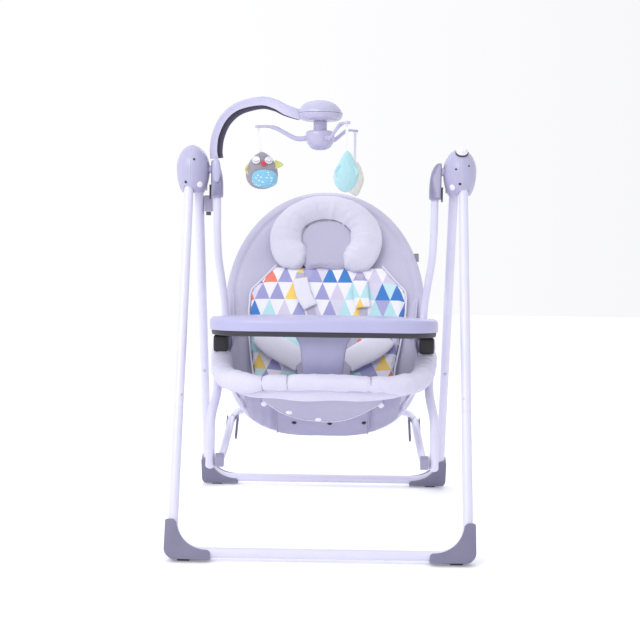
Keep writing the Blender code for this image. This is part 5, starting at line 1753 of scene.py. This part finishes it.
def makeApron():
    def pleats(u, v):
        # three soft pleats each side, from the top seam
        t = abs(u)
        wave = 0
        for k, spot in enumerate((0.66, 0.78, 0.90)):
            wave += math.exp(-((t - spot - 0.03 * v) / 0.028) ** 2) * (1 - 0.55 * v)
        fold = ripple((u * 0.3, v * 0.12, 2.0), 0.045, 4.0) * 0.0022
        return apronPoint(u, v, 0.0034 * wave + fold - 0.001)
    apron = clothPanel("seatApron", pleats, 96, 22, 0.0022, apronCloth)
    subdivided(apron)
    place(apron, "seat", "apron", slot="apron_fabric")
    # the middle panel lies over the side panels and carries the snaps

    def middle(u, v):
        side = 0.60
        w = 0.18 + 0.80 * v
        return apronPoint(u * side, w, 0.0046 + 0.0008 * ripple((u, v, 0), 0.3, 2.0))
    panel = clothPanel("apronMiddle", middle, 60, 14, 0.0022, apronCloth)
    subdivided(panel)
    place(panel, "seat", slot="apron_fabric")
    for side, sign in sides.items():
        path = [middle(sign, k / 16) + Vector((0, -0.0016, -0.001)) for k in range(17)]
        piping = tubeMesh("apronPiping_" + side, path, 0.0013, apronCloth, around=10)
        place(piping, "seat", slot="apron_fabric")

    def bib(u, v):
        # a curved flap that hangs over the panel's top
        side = 0.76
        low = 0.44 * (1 - abs(u) ** 2.4) + 0.10
        return apronPoint(u * side, -0.02 + (low + 0.02) * v, 0.0085 + 0.0012 * ripple((u, v, 1), 0.25, 6.0)
                          + 0.0010 * math.sin(u * 7) * v)
    flap = clothPanel("apronBib", bib, 64, 14, 0.0020, rimGreyCloth)
    subdivided(flap)
    place(flap, "seat", slot="apron_fabric")
    path = [bib(-1 + 2 * k / 60, 1.0) + Vector((0, -0.0012, -0.0008)) for k in range(61)]
    piping = tubeMesh("bibPiping", path, 0.0013, pillowCloth, around=10)
    place(piping, "seat", slot="pale_fabric")
    front = Vector((0, -0.75, -0.35)).normalized()
    for count, u in enumerate((-0.366, 0.095, 0.537)):
        at = middle(u / 0.60, 0.56) + Vector((0, -0.0012, -0.0010))
        normal = Vector((0, -0.8, -0.6))
        stud = latheMesh("apronStud_" + str(count),
                         [(0, -0.0005), (0.0052, -0.0005), (0.0056, 0.0004), (0.0046, 0.0014),
                          (0.0036, 0.0014), (0.0032, 0.0030), (0.0020, 0.0036), (0, 0.0037)],
                         blackNylon, at, normal, 32)
        place(stud, "seat", slot="dark_plastic")
    for side, sign in sides.items():
        at = apronPoint(sign * 0.745, 0.24, 0.0030)
        snap = latheMesh("apronButton_" + side,
                         [(0, 0), (0.0062, 0), (0.0068, 0.0010), (0.0060, 0.0024), (0.0030, 0.0028),
                          (0, 0.0024)], whiteKnob, at + Vector((0, -0.004, 0)), Vector((0, -0.95, -0.3)), 36)
        place(snap, "seat", slot="dial_plastic")
    for count, (u, v) in enumerate(((-0.56, 0.80), (-0.07, 0.93))):
        at = bib(u, v) + Vector((0, -0.0016, -0.0010))
        oval = latheMesh("bibSnap_" + str(count), [(0, 0), (0.0072, 0), (0.0076, 0.0008), (0.0062, 0.0017),
                                                   (0, 0.0020)], whiteKnob, at, front, 36)
        for vert in oval.data.vertices:
            vert.co.z = at.z + (vert.co.z - at.z) * 0.72
        place(oval, "seat", slot="dial_plastic")


rimGreyCloth = wovenCloth("wovenPolyesterBib", "#B5B1CB", "#A8A4C1", threadMm=1.1, crease=0.7)

makeBackCover()
makeSling()
makeRimCover()
makeRimFlap()
makePillow()
makeInsert()
print("seat cover, pillow and insert made")
makeHarness()
makeApron()
print("harness and apron made")


# the CAD nodes that stay, with their own finishes

kept = {"front_pad_left": rubberPad, "front_pad_right": rubberPad, "rear_pad_left": rubberPad,
        "rear_pad_right": rubberPad, "snap_button_left": zincSteel, "snap_button_right": zincSteel,
        "power_box": inletAbs, "power_socket": blackNylon, "drive_coil": enamelCopper,
        "drive_magnet": zincSteel, "control_board": circuitBoard}
for node, material in kept.items():
    mesh = frame["nodes"][node].data
    mesh.materials.clear()
    mesh.materials.append(material)


# floor, light and camera

studio = {"floor": "#FBFBFD", "shade": "#F9F9FC", "world": 0.93, "lean": (-0.18, 0.07, 0), "glow": 0.12,
          "key": 34,
          "fill": 2, "top": 10, "back": 10}


def makeStage():
    shape = bmesh.new()
    bmesh.ops.create_grid(shape, x_segments=2, y_segments=2, size=6)
    floor = finishMesh("studioFloor", shape)
    for vert in floor.data.vertices:
        vert.co.z = -0.0005
    material, tree, shader = newMaterial("paintedStudioFloor")
    where = addNode(tree, "ShaderNodeTexCoord")
    cloud = addNode(tree, "ShaderNodeTexNoise", {"Vector": (where, "Object"), "Scale": 0.8})
    tone = addNode(tree, "ShaderNodeMix",
                   {0: (cloud, 0), 6: hexColour(studio["floor"]), 7: hexColour(studio["shade"])},
                   data_type="RGBA")
    tree.links.new(tone.outputs[2], shader.inputs["Base Color"])
    shader.inputs["Roughness"].default_value = 0.9
    shader.inputs["Emission Color"].default_value = hexColour(studio["floor"])
    shader.inputs["Emission Strength"].default_value = studio["glow"]
    floor.data.materials.append(material)
    world = bpy.data.worlds.new("softStudio")
    world.use_nodes = True
    background = world.node_tree.nodes["Background"]
    background.inputs["Color"].default_value = (0.985, 0.985, 1.0, 1)
    # the left and the back of the studio are a little brighter than the right and the front
    tree = world.node_tree
    way = addNode(tree, "ShaderNodeTexCoord")
    lean = addNode(tree, "ShaderNodeVectorMath", {0: (way, "Generated"), 1: studio["lean"]},
                   operation="DOT_PRODUCT")
    power = addNode(tree, "ShaderNodeMath", {0: (lean, "Value"), 1: studio["world"]}, operation="ADD")
    tree.links.new(power.outputs[0], background.inputs["Strength"])
    bpy.context.scene.world = world
    bpy.context.scene.view_settings.view_transform = "Standard"


def makeLight(name, power, size, at, aim, colour=(1, 1, 1)):
    light = bpy.data.lights.new(name, "AREA")
    light.energy = power
    light.shape = "RECTANGLE"
    light.size, light.size_y = size
    light.color = colour
    lamp = bpy.data.objects.new(name, light)
    bpy.context.scene.collection.objects.link(lamp)
    lamp.location = at
    lamp.rotation_euler = (Vector(aim) - Vector(at)).to_track_quat("-Z", "Y").to_euler()


def makeCamera():
    view = {"lens": 65.66, "at": (0.0262, -2.790, 0.7373), "yaw": -0.754, "pitch": 5.143, "roll": 0.726}
    yaw, pitch, roll = (math.radians(view[k]) for k in ("yaw", "pitch", "roll"))
    ahead = Vector((math.sin(yaw) * math.cos(pitch), math.cos(yaw) * math.cos(pitch), -math.sin(pitch)))
    right = Vector((math.cos(yaw), -math.sin(yaw), 0))
    up = right.cross(ahead)
    across = right * math.cos(roll) + up * math.sin(roll)
    upwards = -right * math.sin(roll) + up * math.cos(roll)
    data = bpy.data.cameras.new("view")
    data.lens = view["lens"]
    data.sensor_width = 36
    camera = bpy.data.objects.new("view", data)
    bpy.context.scene.collection.objects.link(camera)
    turn = Matrix((across, upwards, -ahead)).transposed()
    camera.matrix_world = Matrix.Translation(view["at"]) @ turn.to_4x4()
    bpy.context.scene.camera = camera


makeStage()
makeLight("keySoftbox", studio["key"], (2.2, 1.6), (-1.5, -2.2, 2.3), (0, 0, 0.5))
makeLight("fillSoftbox", studio["fill"], (1.8, 1.8), (2.3, -1.7, 1.3), (0, 0, 0.5))
makeLight("topSoftbox", studio["top"], (2.4, 2.4), (0, 0.2, 2.9), (0, 0, 0.4))
makeLight("backSoftbox", studio["back"], (2.0, 1.4), (0.6, 2.3, 1.8), (0, 0, 0.6))
makeCamera()
print("stage made")
